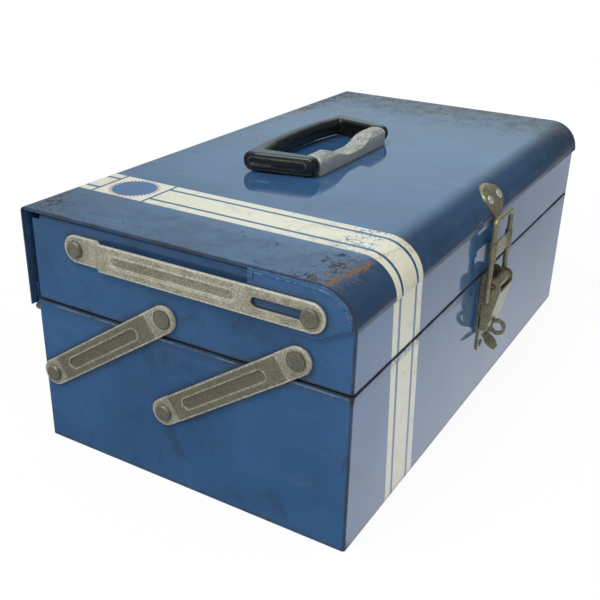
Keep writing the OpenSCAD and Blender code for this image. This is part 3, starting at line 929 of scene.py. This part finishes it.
        # the cream is scaled lighter or darker as painted light and shade
        cream = scaled(self.CREAM, stripe.shown)
        yellowed = scaled(cream, 0.88, 0.88, 0.80)
        aged = skin.cover(cream, (skin.noise(skin.vector, 0.15, 3.0, 0.6), yellowed))
        ink = skin.cover(aged, (skin.most(first, second), self.LINE))
        if self.decal is Decal.LID:
            facing = skin.y.step(125.0, 124.0) * outside
            limit = skin.y.band(-96.0, -64.0, 9.0) * -0.205 + 0.74
        else:
            facing = outside
            limit = skin.z.band(100.0, 107.5, 1.2) * -0.26 + 0.76 - skin.z.step(10.0, 2.0) * 0.12
        kept = skin.noise(skin.vector, 0.32, 6.0, 0.72, 0.9).step(limit, limit + 0.02, 1.0, 0.0)
        colour = skin.cover(paint, (across.band(0.0, stripe.width, 0.25) * facing * kept, ink))
        return self.print_emblem(skin, colour, kept * facing) if self.decal is Decal.LID else colour

    def print_emblem(self, skin: Skin, colour: Value, kept: Value) -> Value:
        """Lay the square field with its plain round emblem near the rear edge of the lid.

        Args:
            skin: The material that is built.
            colour: The colour under it.
            kept: Where the print hasn't worn off.

        Returns:
            The new colour.
        """
        centre_x, centre_y, half, line_end, field_end = -150.0, 91.5, 18.5, 22.1, 20.1
        disc_radius, tooth, teeth, ring_inner, ring_outer = 15.4, 0.5, 40.0, 15.2, 17.2
        away_x, away_y = skin.x - centre_x, skin.y - centre_y
        border = away_x.band(-half, half, 0.25) * away_y.band(-line_end, line_end, 0.25) * kept
        square = border * away_y.band(-field_end, field_end, 0.25)
        radius = skin.spread(away_x, away_y)
        wave = skin.math("SINE", skin.math("ARCTAN2", away_y, away_x) * teeth)
        ring = radius.band(ring_inner, ring_outer, 0.3) * wave.step(-0.3, 0.3)
        disc = (radius - wave * tooth - disc_radius).step(0.3, -0.3)
        return skin.cover(
            colour,
            (border, self.LINE),
            (square, self.CREAM),
            (ring * kept, self.EMBLEM_RING),
            (disc * kept, self.EMBLEM_DISC),
        )


@dataclass(frozen=True)
class ZincPlate(Finish):
    """Dull zinc plate, warm grey and mottled, with dark grime and paler rubbed edges, and on pressed parts
    painted shade in the groove and a painted highlight on its rim and edge.

    Attributes:
        light: Colour where it is rubbed.
        dark: Colour where it is dirty.
        rough: Mean roughness.
        metal: Share of bare metal.
        marks: The pressed marks of an arm or link, if it has any.
        speckle: How dark its specks are, from 0 to 1.
        ring: The middle of a dirty ring round a pin, as (y, z), if it has one.
    """

    light: Triple = (0.56, 0.53, 0.41)
    dark: Triple = (0.25, 0.24, 0.17)
    rough: float = 0.40
    metal: float = 0.40
    marks: Pressing | None = None
    speckle: float = 0.55
    ring: Pair | None = None

    # dark colour of dirt, and of the painted shade in pressed grooves
    GRIME_AND_SHADE = (0.045, 0.042, 0.030)
    # pale colour of rubbed metal, also the painted highlight on groove rims and edges
    WORN_AND_HIGHLIGHT = (0.74, 0.72, 0.62)

    def layers(self, skin: Skin) -> dict[str, Input]:
        """Lay plating, pressed marks, specks and stains, from below.

        Args:
            skin: The material that is built.

        Returns:
            What each input of the shader gets, by name.
        """
        vector = skin.vector
        mottle = skin.use(skin.effects.mottle, Vector=vector, Broad=0.09, Fine=1.1)
        fine = mottle["Fine"].step(0.36, 0.66)
        share = mottle["Broad"].step(0.32, 0.68) * 0.30 + fine * 0.70
        if self.marks is None:
            colour = skin.cover(self.dark, (share, self.light))
        else:
            colour = self.press(skin, share, fine)
        specks = skin.noise(vector, 1.25, 4.0, 0.72).step(0.47, 0.61, 0.0, self.speckle)
        colour = skin.cover(colour, (specks, self.GRIME_AND_SHADE))
        if self.ring is not None:
            away = skin.spread(skin.y - self.ring[0], skin.z - self.ring[1])
            colour = skin.cover(colour, (away.band(0.9, 2.2, 0.3) * 0.95, self.GRIME_AND_SHADE))
        spots = skin.use(skin.effects.chips, Vector=vector, Scale=0.8, Density=0.45)
        return {
            "Base Color": skin.cover(colour, (spots["Stain"] * 0.6, self.GRIME_AND_SHADE)),
            "Metallic": self.metal,
            "Roughness": fine * 0.16 + (self.rough - 0.08),
            "Normal": skin.bump(skin.noise(vector, 2.4, 3.0, 0.6), 0.9, 0.10),
        }

    def press(self, skin: Skin, share: Value, fine: Value) -> Value:
        """Lay the pressed marks: painted shade in the groove, a pale rim and edge that are rubbed and carry
        a painted highlight, and a dark body.

        Args:
            skin: The material that is built.
            share: How light the plain plating is.
            fine: Its fine variation.

        Returns:
            The colour.
        """
        bar = self.marks
        along, across = bar.measure(skin)
        sizes = {"Length": bar.length, "Start": bar.groove[0], "End": bar.groove[1]}
        marks = skin.use(skin.effects.pressing, Along=along, Across=across, **sizes)
        # rim and edge are rubbed metal with a painted highlight; the groove is darker as painted shade
        rubbed = skin.most(marks["Rim"], marks["Border"]) * (fine * 0.6 + 0.35)
        share = share - marks["Body"] * bar.dark + rubbed - marks["Groove"] * 0.34
        colour = skin.cover(self.dark, (share, self.light))
        # painted shade in the groove, and the darker body
        groove_shade_and_dark_body = (marks["Groove"] * 0.10 + marks["Body"] * (bar.dark * 0.45)) * (1.0 - rubbed)
        return skin.cover(colour, (groove_shade_and_dark_body, self.GRIME_AND_SHADE), (rubbed * 0.65, self.WORN_AND_HIGHLIGHT))


@dataclass(frozen=True)
class CastPaint(Finish):
    """Silver-grey paint on a casting, rubbed on its raised parts, with a painted highlight on its upward
    faces.

    Attributes:
        tint: Colour of the paint.
        rubbed: Colour where it is rubbed, also its painted highlight on upward faces.
    """

    tint: Triple = (0.22, 0.255, 0.25)
    rubbed: Triple = (0.64, 0.63, 0.55)

    CHIPPED = (0.13, 0.105, 0.07)
    FOOT = (0.05, 0.045, 0.035)

    def layers(self, skin: Skin) -> dict[str, Input]:
        """Lay paint, rubbed patches that are also a painted highlight on upward faces, chips and the darker
        foot, from below.

        Args:
            skin: The material that is built.

        Returns:
            What each input of the shader gets, by name.
        """
        vector, z = skin.vector, skin.z
        mottle = skin.use(skin.effects.mottle, Vector=vector, Broad=0.08, Fine=0.7)
        chips = skin.use(skin.effects.chips, Vector=vector, Scale=0.7, Density=0.92)
        # faces that point up take the rubbed colour more, as a painted highlight
        upward = skin.split(skin.get("ShaderNodeTexCoord", output="Normal"))[2].step(0.45, 0.85)
        high = skin.math("MINIMUM", z.step(173.0, 182.0) + upward * 0.6, 1.0)
        patch = mottle["Fine"].step(0.42, 0.60)
        colour = skin.cover(
            self.tint,
            (patch * (high * 0.7 + 0.25), self.rubbed),
            (chips["Chips"] * (upward * 0.80 + 0.10), self.CHIPPED),
            # darker towards the foot, where the casting meets the lid
            (z.step(171.0, 169.4, 0.0, 0.75), self.FOOT),
        )
        return {
            "Base Color": colour,
            "Metallic": 0.15,
            "Roughness": patch * 0.15 + 0.34,
            "Normal": skin.bump(skin.noise(vector, 1.1, 4.0, 0.6), 0.4, 0.08),
        }


@dataclass(frozen=True)
class MouldedPlastic(Finish):
    """Glossy black moulded plastic with a recess on the outer face of each leg, whose rim is rubbed and
    carries a painted highlight along its upper line.

    Attributes:
        tint: Colour of the plastic.
        middle: Where the middle of the grip lies along the box.
        outer: How far from the middle the outer faces of its legs start.
        pivot: The pivot, as (y, z).
        reach: Length of the legs.
    """

    tint: Triple = (0.007, 0.008, 0.0075)
    middle: float = -4.0
    outer: float = 58.5
    pivot: Pair = (8.2, 177.4)
    reach: float = 43.0

    # pale colour of rubbed plastic, also the painted highlight on the recess's rim
    RUBBED_AND_HIGHLIGHT = (0.22, 0.22, 0.19)
    DUST = (0.10, 0.10, 0.09)

    def layers(self, skin: Skin) -> dict[str, Input]:
        """Lay plastic, dust, scratches and the rim of the recess, rubbed and lit by a painted highlight
        along its upper line, from below.

        Args:
            skin: The material that is built.

        Returns:
            What each input of the shader gets, by name.
        """
        vector = skin.vector
        mottle = skin.use(skin.effects.mottle, Vector=vector, Broad=0.06, Fine=0.8)
        fine = mottle["Fine"]
        scratches = skin.use(skin.effects.scratches, Vector=vector, Scale=0.12, Amount=0.8)
        along, across = skin.y - self.pivot[0], skin.z - self.pivot[1]
        sizes = {"Length": self.reach, "Start": 3.0, "End": self.reach - 3.0, "Half": 2.3, "Edge": 7.0}
        marks = skin.use(skin.effects.pressing, Along=along, Across=across, **sizes)
        face = abs(skin.x - self.middle).step(self.outer, self.outer + 1.5)
        # painted highlight on the recess's rim, brightest along its upper line
        rim = marks["Rim"] * face * across.step(-0.6, 1.2, 0.22, 1.0) * fine.step(0.34, 0.58, 0.15, 1.0)
        colour = skin.cover(
            self.tint,
            (fine.step(0.52, 0.76) * 0.10, self.DUST),
            (scratches["Scratches"] * 0.25, self.RUBBED_AND_HIGHLIGHT),
            (rim * 0.8, self.RUBBED_AND_HIGHLIGHT),
        )
        return {
            "Base Color": colour,
            "IOR": 1.52,
            "Roughness": fine * 0.20 + 0.08,
            "Normal": skin.bump(fine, 0.2, 0.04),
        }


@dataclass(frozen=True)
class WornEdge(Finish):
    """The narrow edge of a painted sheet, where paint is rubbed through in places.

    Attributes:
        paint: Colour of the paint.
        bare: Colour where it is rubbed through.
        share: How much of it is rubbed through.
    """

    paint: Triple = (0.010, 0.030, 0.075)
    bare: Triple = (0.045, 0.038, 0.032)
    share: float = 0.5

    def layers(self, skin: Skin) -> dict[str, Input]:
        """Lay the bare steel over the paint.

        Args:
            skin: The material that is built.

        Returns:
            What each input of the shader gets, by name.
        """
        mottle = skin.use(skin.effects.mottle, Vector=skin.vector, Broad=0.05, Fine=0.35)
        limit = 0.72 - 0.35 * self.share
        rubbed = mottle["Fine"].step(limit, limit + 0.06)
        return {"Base Color": skin.cover(self.paint, (rubbed, self.bare)), "Roughness": rubbed * 0.3 + 0.25}


class Finishes:
    """Every material of the box, built once."""

    def __init__(self) -> None:
        """Build the shared effects and every material with them."""
        effects = Effects()
        self.paint = Enamel("blue_enamel", seed=40).build(effects)
        self.front_paint = Enamel("blue_enamel_front", decal=Decal.FRONT, wear=0.24, seed=90).build(effects)
        self.lid_paint = Enamel("blue_enamel_lid", decal=Decal.LID, wear=0.05, seed=10).build(effects)
        self.edge = WornEdge("worn_edge").build(effects)
        self.lid_edge = WornEdge("worn_lid_edge", share=0.8).build(effects)
        # the gusset's edge: a dark navy line with light-blue painted glints
        gusset_edge = WornEdge("gusset_edge_glints", (0.024, 0.066, 0.140), (0.13, 0.20, 0.30), 0.60)
        self.gusset_edge = gusset_edge.build(effects)
        self.rear_arm = ZincPlate("zinc_rear_arm", marks=REAR_ARM).build(effects)
        self.front_arm = ZincPlate("zinc_front_arm", marks=FRONT_ARM).build(effects)
        self.link = ZincPlate("zinc_link", (0.62, 0.59, 0.46), marks=LINK, speckle=0.36).build(effects)
        latch = ZincPlate("latch_plate", (0.42, 0.385, 0.25), (0.13, 0.118, 0.072), 0.34, 0.5, speckle=0.25)
        self.latch_zinc = latch.build(effects)
        self.lever_zinc = replace(latch, name="lever_plate", ring=(-119.6, 98.4)).build(effects)
        self.rivet = ZincPlate("rivet_steel", (0.270, 0.262, 0.205), (0.110, 0.106, 0.080)).build(effects)
        self.bright = ZincPlate("bright_rivet", (0.75, 0.73, 0.65), (0.5, 0.48, 0.4), 0.3).build(effects)
        self.cast = CastPaint("grey_casting").build(effects)
        self.plastic = MouldedPlastic("black_grip").build(effects)


# ------------------------------------------------------------------ sub-assemblies
SHEET_EDGE = EdgeRound(width=0.45, segments=3, worn=True)


@dataclass
class SheetPart:
    """A part that keeps its CAD form, with its edges rounded and its faces dressed.

    Attributes:
        node: The CAD node that it stands for.
        body: The body that it rides on.
        edge: How its edges are rounded.
        slot: Its material slot in the record.
        flat: The angle in degrees below which two of its faces count as one.
    """

    node: str
    body: str
    edge: EdgeRound = EdgeRound()
    slot: str = "zinc_steel"
    flat: float = FLAT

    def build(self, *materials: bpy.types.Material) -> None:
        """Model the part and hang it in place.

        Args:
            materials: The finish of its faces and, if its edges are worn, of its edges.
        """
        piece = solid_copy(self.node, self.node + "_sheet", self.flat)
        dress(piece, *materials)
        round_edges(piece, self.edge)
        settle(piece, self.body, self.slot, self.node)


@dataclass
class SubAssembly:
    """Parts that are modelled and dressed together.

    Attributes:
        finishes: Every material of the box.
    """

    finishes: Finishes

    def build(self) -> None:
        """Model the parts and hang them on their bodies."""
        raise NotImplementedError


@dataclass
class LowerBox(SubAssembly):
    """The lower box: wrap, end panels and rivets.

    Attributes:
        edge: Rounding of its sheet edges.
    """

    edge: EdgeRound = SHEET_EDGE

    def build(self) -> None:
        """Model the box in one piece, because its sheets are welded and painted together."""
        nodes = ("box_wrap", "box_end_l", "box_end_r")
        piece = join([solid_copy(node, node + "_sheet") for node in nodes], "lower_box")
        self.drop_inner_faces(piece)
        weld(piece, FLAT)
        dress(piece, self.finishes.front_paint, self.finishes.edge)
        round_edges(piece, self.edge)
        settle(piece, "box", "blue_paint", *nodes)
        SheetPart("lower_rivets", "box", EdgeRound(0.35)).build(self.finishes.rivet)

    @staticmethod
    def drop_inner_faces(piece: bpy.types.Object) -> None:
        """Delete the faces in which the wrap and the end panels meet.

        Args:
            piece: The joined sheets.
        """
        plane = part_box("box_wrap")[1].x
        mesh = bmesh.new()
        mesh.from_mesh(piece.data)
        touching = [
            face
            for face in mesh.faces
            if abs(face.normal.x) > 0.99 and abs(abs(face.calc_center_median().x) - plane) < 0.01 * MM
        ]
        bmesh.ops.delete(mesh, geom=touching, context="FACES_ONLY")
        mesh.to_mesh(piece.data)
        mesh.free()


@dataclass
class Tray(SubAssembly):
    """The lifting tray and the rivets that the arms and links turn on.

    Attributes:
        edge: Rounding of its sheet edges.
        bead_rise: How far the bead on an end wall stands above the wall's hem.
        bead_depth: Height of the bead.
        bead_width: Thickness of the bead.
        bead_round: Radius of its rounded top.
        bead_proud: How far it stands out of the wall's outer face.
        bead_start: Where the beads start, in millimetres towards the hinge.
        bead_end: Where they end.
    """

    edge: EdgeRound = SHEET_EDGE
    bead_rise: float = 3.9
    bead_depth: float = 7.5
    bead_width: float = 5.4
    bead_round: float = 2.4
    bead_proud: float = 0.04
    bead_start: float = -90.0
    bead_end: float = 114.0

    def build(self) -> None:
        """Model the tray with its beads and its rivets."""
        painted = self.finishes.front_paint
        SheetPart("tray_shell", "tray", self.edge, "blue_paint").build(painted, self.finishes.edge)
        for side in (-1, 1):
            self.build_bead(side, painted)
        for node, width in (("upper_rivets", 0.25), ("link_rivets", 0.35)):
            SheetPart(node, "tray", EdgeRound(width)).build(self.finishes.rivet)

    def build_bead(self, side: int, material: bpy.types.Material) -> None:
        """Roll the top of one end wall into the round bead that shows under the lid's edge.

        Args:
            side: -1 for the near end and 1 for the far one.
            material: Its finish.
        """
        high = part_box("tray_shell")[1]
        middle = (high.x / MM + self.bead_proud - self.bead_width / 2) * side
        top = high.z / MM + self.bead_rise
        centre = mm(middle, (self.bead_start + self.bead_end) / 2, top - self.bead_depth / 2)
        deselect_all()
        bpy.ops.mesh.primitive_cube_add(size=1.0, location=centre)
        piece = bpy.context.active_object
        piece.name = "tray_bead_l" if side < 0 else "tray_bead_r"
        piece.scale = mm(self.bead_width, self.bead_end - self.bead_start, self.bead_depth)
        place_in_mesh(piece)
        with editing(piece):
            pick(piece, lambda place: place.z > high.z)
            bpy.ops.mesh.bevel(offset=self.bead_round * MM, segments=8)
        dress(piece, material)
        shade(piece)
        settle(piece, "tray", "blue_paint")


@dataclass
class Lid(SubAssembly):
    """The lid with its end gussets, hinge leaf and strike.

    Attributes:
        edge: Rounding of its sheet edges.
        gusset_edge: Rounding of the gussets' edges.
    """

    edge: EdgeRound = replace(SHEET_EDGE, width=0.4)
    gusset_edge: EdgeRound = EdgeRound(width=0.18, worn=True)

    def build(self) -> None:
        """Model the lid and what is fixed to it."""
        kit = self.finishes
        SheetPart("lid_shell", "lid", self.edge, "blue_paint").build(kit.lid_paint, kit.lid_edge)
        for side in "lr":
            gusset = SheetPart(f"lid_gusset_{side}", "lid", self.gusset_edge, "blue_paint", 0.0)
            gusset.build(kit.paint, kit.gusset_edge)
        SheetPart("hinge_leaf_lid", "lid", slot="blue_paint").build(kit.paint)
        dress_node("stud_heads", kit.rivet)
        SheetPart("strike_plate", "lid").build(kit.latch_zinc)
        SheetPart("strike_rivets", "lid", EdgeRound(0.25)).build(kit.bright)


@dataclass
class Hinge(SubAssembly):
    """The box half of the piano hinge and its pin."""

    def build(self) -> None:
        """Model the leaf and dress the pin."""
        SheetPart("hinge_leaf_box", "box", slot="blue_paint").build(self.finishes.paint)
        dress_node("hinge_pin", self.finishes.rivet)


@dataclass
class Linkage(SubAssembly):
    """The pressed arms, the slotted links and the studs in their slots.

    Attributes:
        edge: Rounding of their edges.
    """

    edge: EdgeRound = EdgeRound(width=0.45, segments=3, angle=20)

    def build(self) -> None:
        """Model the four arms, two links and two studs."""
        kit = self.finishes
        plates = {"rear_arm": kit.rear_arm, "front_arm": kit.front_arm, "link": kit.link}
        for side in "lr":
            for kind, plate in plates.items():
                SheetPart(f"{kind}_{side}", f"{kind}s", self.edge).build(plate)
        SheetPart("slot_studs", "links", EdgeRound(0.4)).build(kit.rivet)


@dataclass
class Handle(SubAssembly):
    """The cast bracket and the folding grip.

    Attributes:
        edge: Rounding of the bracket's edges.
        voxel: Cell of the remesh that melts the grip into one moulded form, in millimetres.
        melt: How often the form is smoothed.
        depth: How much deeper its underside is than the plain solid's.
        recess_start: Where the recesses in its legs start, in millimetres towards the hinge.
        recess_end: Where they end.
        recess_height: How high their middle line lies.
        recess_half: Half of their width.
        recess_depth: Their depth.
        recess_reach: How far inside the legs' outer faces the pressed skin may lie.
        recess_steps: Shares of the width that are pressed one after the other.
    """

    edge: EdgeRound = EdgeRound(width=0.7, segments=3)
    voxel: float = 0.7
    melt: int = 14
    depth: float = 1.17
    recess_start: float = 11.2
    recess_end: float = 48.2
    recess_height: float = 177.4
    recess_half: float = 2.4
    recess_depth: float = 0.9
    recess_reach: float = 2.4
    recess_steps: Pair = (1.0, 0.72)

    def build(self) -> None:
        """Model the bracket, the grip and what holds them."""
        SheetPart("handle_bracket", "lid", self.edge, "grey_casting").build(self.finishes.cast)
        for node in ("handle_plate", "handle_screws", "handle_pins"):
            dress_node(node, self.finishes.rivet)
        self.build_grip(self.finishes.plastic)

    def build_grip(self, material: bpy.types.Material) -> None:
        """Melt the plain grip into a moulded one.

        Args:
            material: Its finish.
        """
        piece = solid_copy("handle_grip", "moulded_grip")
        remesh = piece.modifiers.new("melt", "REMESH")
        remesh.mode = "VOXEL"
        remesh.voxel_size = self.voxel * MM
        soft = piece.modifiers.new("soften", "SMOOTH")
        soft.factor = 0.5
        soft.iterations = self.melt
        apply_modifiers(piece)
        low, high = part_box("handle_grip")
        self.deepen(piece, (low.z + high.z) / 2)
        for side in (-1, 1):
            for share in self.recess_steps:
                self.sink_recess(piece, side, share)
        dress(piece, material)
        make_active(piece)
        bpy.ops.object.shade_smooth()
        settle(piece, "grip", "black_plastic", "handle_grip")

    def deepen(self, piece: bpy.types.Object, middle: float) -> None:
        """Pull the underside of the grip down to an oval, close over the lid.

        Args:
            piece: The melted grip.
            middle: The height below which it is pulled.
        """
        with editing(piece):
            pick(piece, lambda place: place.z < middle)
            bpy.ops.transform.resize(value=(1.0, 1.0, self.depth), center_override=(0.0, 0.0, middle))

    def sink_recess(self, piece: bpy.types.Object, side: int, share: float) -> None:
        """Press the outer face of one leg in by one step of its long recess.

        Args:
            piece: The melted grip.
            side: -1 for the near leg and 1 for the far one.
            share: Share of the recess's width that is pressed.
        """
        low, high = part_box("handle_grip")
        middle = (low.x + high.x) / 2
        start, end = self.recess_start * MM, self.recess_end * MM

        def inside(place: Vector) -> bool:
            """Tell whether a place lies in the recess."""
            away = math.hypot(max(start - place.y, place.y - end, 0.0), place.z - self.recess_height * MM)
            outer = (place.x - middle) * side > (high.x - middle) - self.recess_reach * MM
            return outer and away < self.recess_half * MM * share

        with editing(piece):
            pick(piece, inside)
            depth = self.recess_depth / len(self.recess_steps)
            bpy.ops.transform.translate(value=mm(-side * depth, 0.0, 0.0))


@dataclass
class Latch(SubAssembly):
    """The base, lever, bail and padlock eye of the front latch."""

    def build(self) -> None:
        """Model the latch."""
        zinc, lever_zinc = self.finishes.latch_zinc, self.finishes.lever_zinc
        for node, body, material in (
            ("latch_base", "box", zinc),
            ("padlock_eye", "box", zinc),
            ("lever_pin", "box", lever_zinc),
            ("latch_lever", "lever", lever_zinc),
            ("latch_bail", "bail", zinc),
            ("bail_sleeve", "bail", zinc),
        ):
            SheetPart(node, body).build(material)
        dress_node("latch_base_rivets", self.finishes.rivet)


# ------------------------------------------------------------------ studio
@dataclass
class Studio:
    """Plain white floor and surroundings, soft lamps, and the camera of the photograph.

    Attributes:
        eye: Camera position in millimetres.
        right: The camera's right, as a direction.
        down: The camera's down, as a direction.
        ahead: The camera's viewing direction.
        lens: Focal length in millimetres on a 36 mm sensor.
        world_light: Strength of the surroundings for diffuse light.
        dark_side: Strength of the studio's unlit side, where a glossy face mirrors it.
        floor_size: Side of the floor in metres.
    """

    eye: Triple = (-573.838, -281.699, 349.995)
    right: Triple = (0.50754275, -0.86130272, 0.02362162)
    down: Triple = (-0.35576646, -0.23445519, -0.90468834)
    ahead: Triple = (0.78474874, 0.45076423, -0.42541865)
    lens: float = 51.8
    world_light: float = 0.60
    dark_side: float = 0.10
    floor_size: float = 9.0

    WHITE = (1.0, 1.0, 1.0)

    def build(self) -> None:
        """Set up the camera, floor, surroundings and lamps."""
        self.build_camera()
        self.build_floor()
        self.build_world()
        self.build_lamp("key", (-1.0, 0.1, 1.7), 25.0, 1.2)
        self.build_lamp("fill", (0.2, -1.5, 0.9), 3.5, 1.4)

    def build_camera(self) -> None:
        """Place the camera as the photograph's perspective gives it."""
        data = bpy.data.cameras.new("camera")
        data.lens = self.lens
        data.sensor_width = 36.0
        data.clip_start = 0.01
        data.clip_end = 50.0
        camera = bpy.data.objects.new("camera", data)
        turn = Matrix((self.right, -Vector(self.down), -Vector(self.ahead))).transposed().to_4x4()
        camera.matrix_world = Matrix.Translation(mm(*self.eye)) @ turn
        bpy.context.scene.collection.objects.link(camera)
        bpy.context.scene.camera = camera

    @staticmethod
    def sort_rays(graph: Graph) -> tuple[Value, Value]:
        """Tell the rays of the studio apart.

        Args:
            graph: The graph of the floor or the world.

        Returns:
            1 for a ray that the object mirrors, and 1 for such a ray or the camera's own.
        """
        path = graph.add("ShaderNodeLightPath")
        kinds = ("Is Glossy Ray", "Is Transmission Ray", "Is Camera Ray")
        glossy, through, camera = (Value(graph, path.outputs[kind]) for kind in kinds)
        mirrored = graph.most(glossy, through)
        return mirrored, graph.most(camera, mirrored)

    def build_floor(self) -> None:
        """Lay a floor that shows white, keeps a soft shadow, and lies unlit beyond the near end."""
        deselect_all()
        bpy.ops.mesh.primitive_plane_add(size=self.floor_size, location=(0, 0, -0.05 * MM))
        floor = bpy.context.active_object
        floor.name = "floor"
        place_in_mesh(floor)
        material = bpy.data.materials.new("white_floor")
        material.use_nodes = True
        graph = Graph(material.node_tree)
        mirrored, seen = self.sort_rays(graph)
        ground = graph.place()
        x, y = graph.split(ground)[:2]
        lit = y.step(-275.0, -345.0).between(x.step(-150.0, 450.0, 1.20, 0.66), self.dark_side)
        beyond = x.step(-260.0, -700.0, self.dark_side, self.dark_side + 0.30)
        mirror = x.step(-200.0, -218.0).between(lit, beyond)
        tint = graph.cover(self.WHITE, (mirrored, (0.98, 1.02, 1.08)))
        glow = graph.get("ShaderNodeEmission", {"Color": tint, "Strength": mirrored.between(1.0, mirror)})
        diffuse = graph.get("ShaderNodeBsdfDiffuse", {"Color": (0.9, 0.9, 0.9)})
        distance = graph.get("ShaderNodeVectorMath", {0: ground}, "Value", operation="LENGTH")
        factor = graph.most(seen * distance.step(250.0, 700.0, 0.92, 1.0), mirrored)
        mixed = graph.get("ShaderNodeMixShader", {0: factor, 1: diffuse, 2: glow})
        graph.add("ShaderNodeOutputMaterial", {"Surface": mixed})
        dress(floor, material)

    def build_world(self) -> None:
        """Surround the box with white that lights it softly, unlit towards the front."""
        world = bpy.data.worlds.new("studio")
        bpy.context.scene.world = world
        world.use_nodes = True
        graph = Graph(world.node_tree)
        mirrored, seen = self.sort_rays(graph)
        y, z = graph.split(graph.get("ShaderNodeTexCoord", output="Generated"))[1:]
        mirror = y.step(-0.20, 0.25, self.dark_side, 0.82)
        mirror = mirror * z.step(0.10, 0.30, 0.60, 1.0) * y.step(0.45, 0.72, 1.0, 0.60)
        tint = graph.cover(self.WHITE, (mirrored, (0.90, 1.10, 1.20)))
        soft = graph.get("ShaderNodeBackground", {"Color": (0.95, 0.97, 1.0), "Strength": self.world_light})
        white = graph.get("ShaderNodeBackground", {"Color": tint, "Strength": mirrored.between(1.0, mirror)})
        mixed = graph.get("ShaderNodeMixShader", {0: seen, 1: soft, 2: white})
        graph.add("ShaderNodeOutputWorld", {"Surface": mixed})

    @staticmethod
    def build_lamp(name: str, place: Triple, power: float, size: float) -> None:
        """Hang a soft square lamp that faces the box.

        Args:
            name: The lamp's name.
            place: Its position in metres.
            power: Its power in watts.
            size: Its side in metres.
        """
        data = bpy.data.lights.new(name, "AREA")
        data.energy = power
        data.size = size
        lamp = bpy.data.objects.new(name, data)
        target = Vector((0.0, 0.0, 0.08))
        lamp.location = place
        lamp.rotation_euler = (target - Vector(place)).to_track_quat("-Z", "Y").to_euler()
        bpy.context.scene.collection.objects.link(lamp)


def main() -> None:
    """Build the studio and every sub-assembly in order."""
    logging.basicConfig(level=logging.INFO, format="%(name)s: %(message)s")
    bpy.context.scene.view_settings.view_transform = "Standard"
    Studio().build()
    finishes = Finishes()
    for kind in (LowerBox, Tray, Lid, Hinge, Linkage, Handle, Latch):
        kind(finishes).build()


if __name__ == "__main__":
    main()
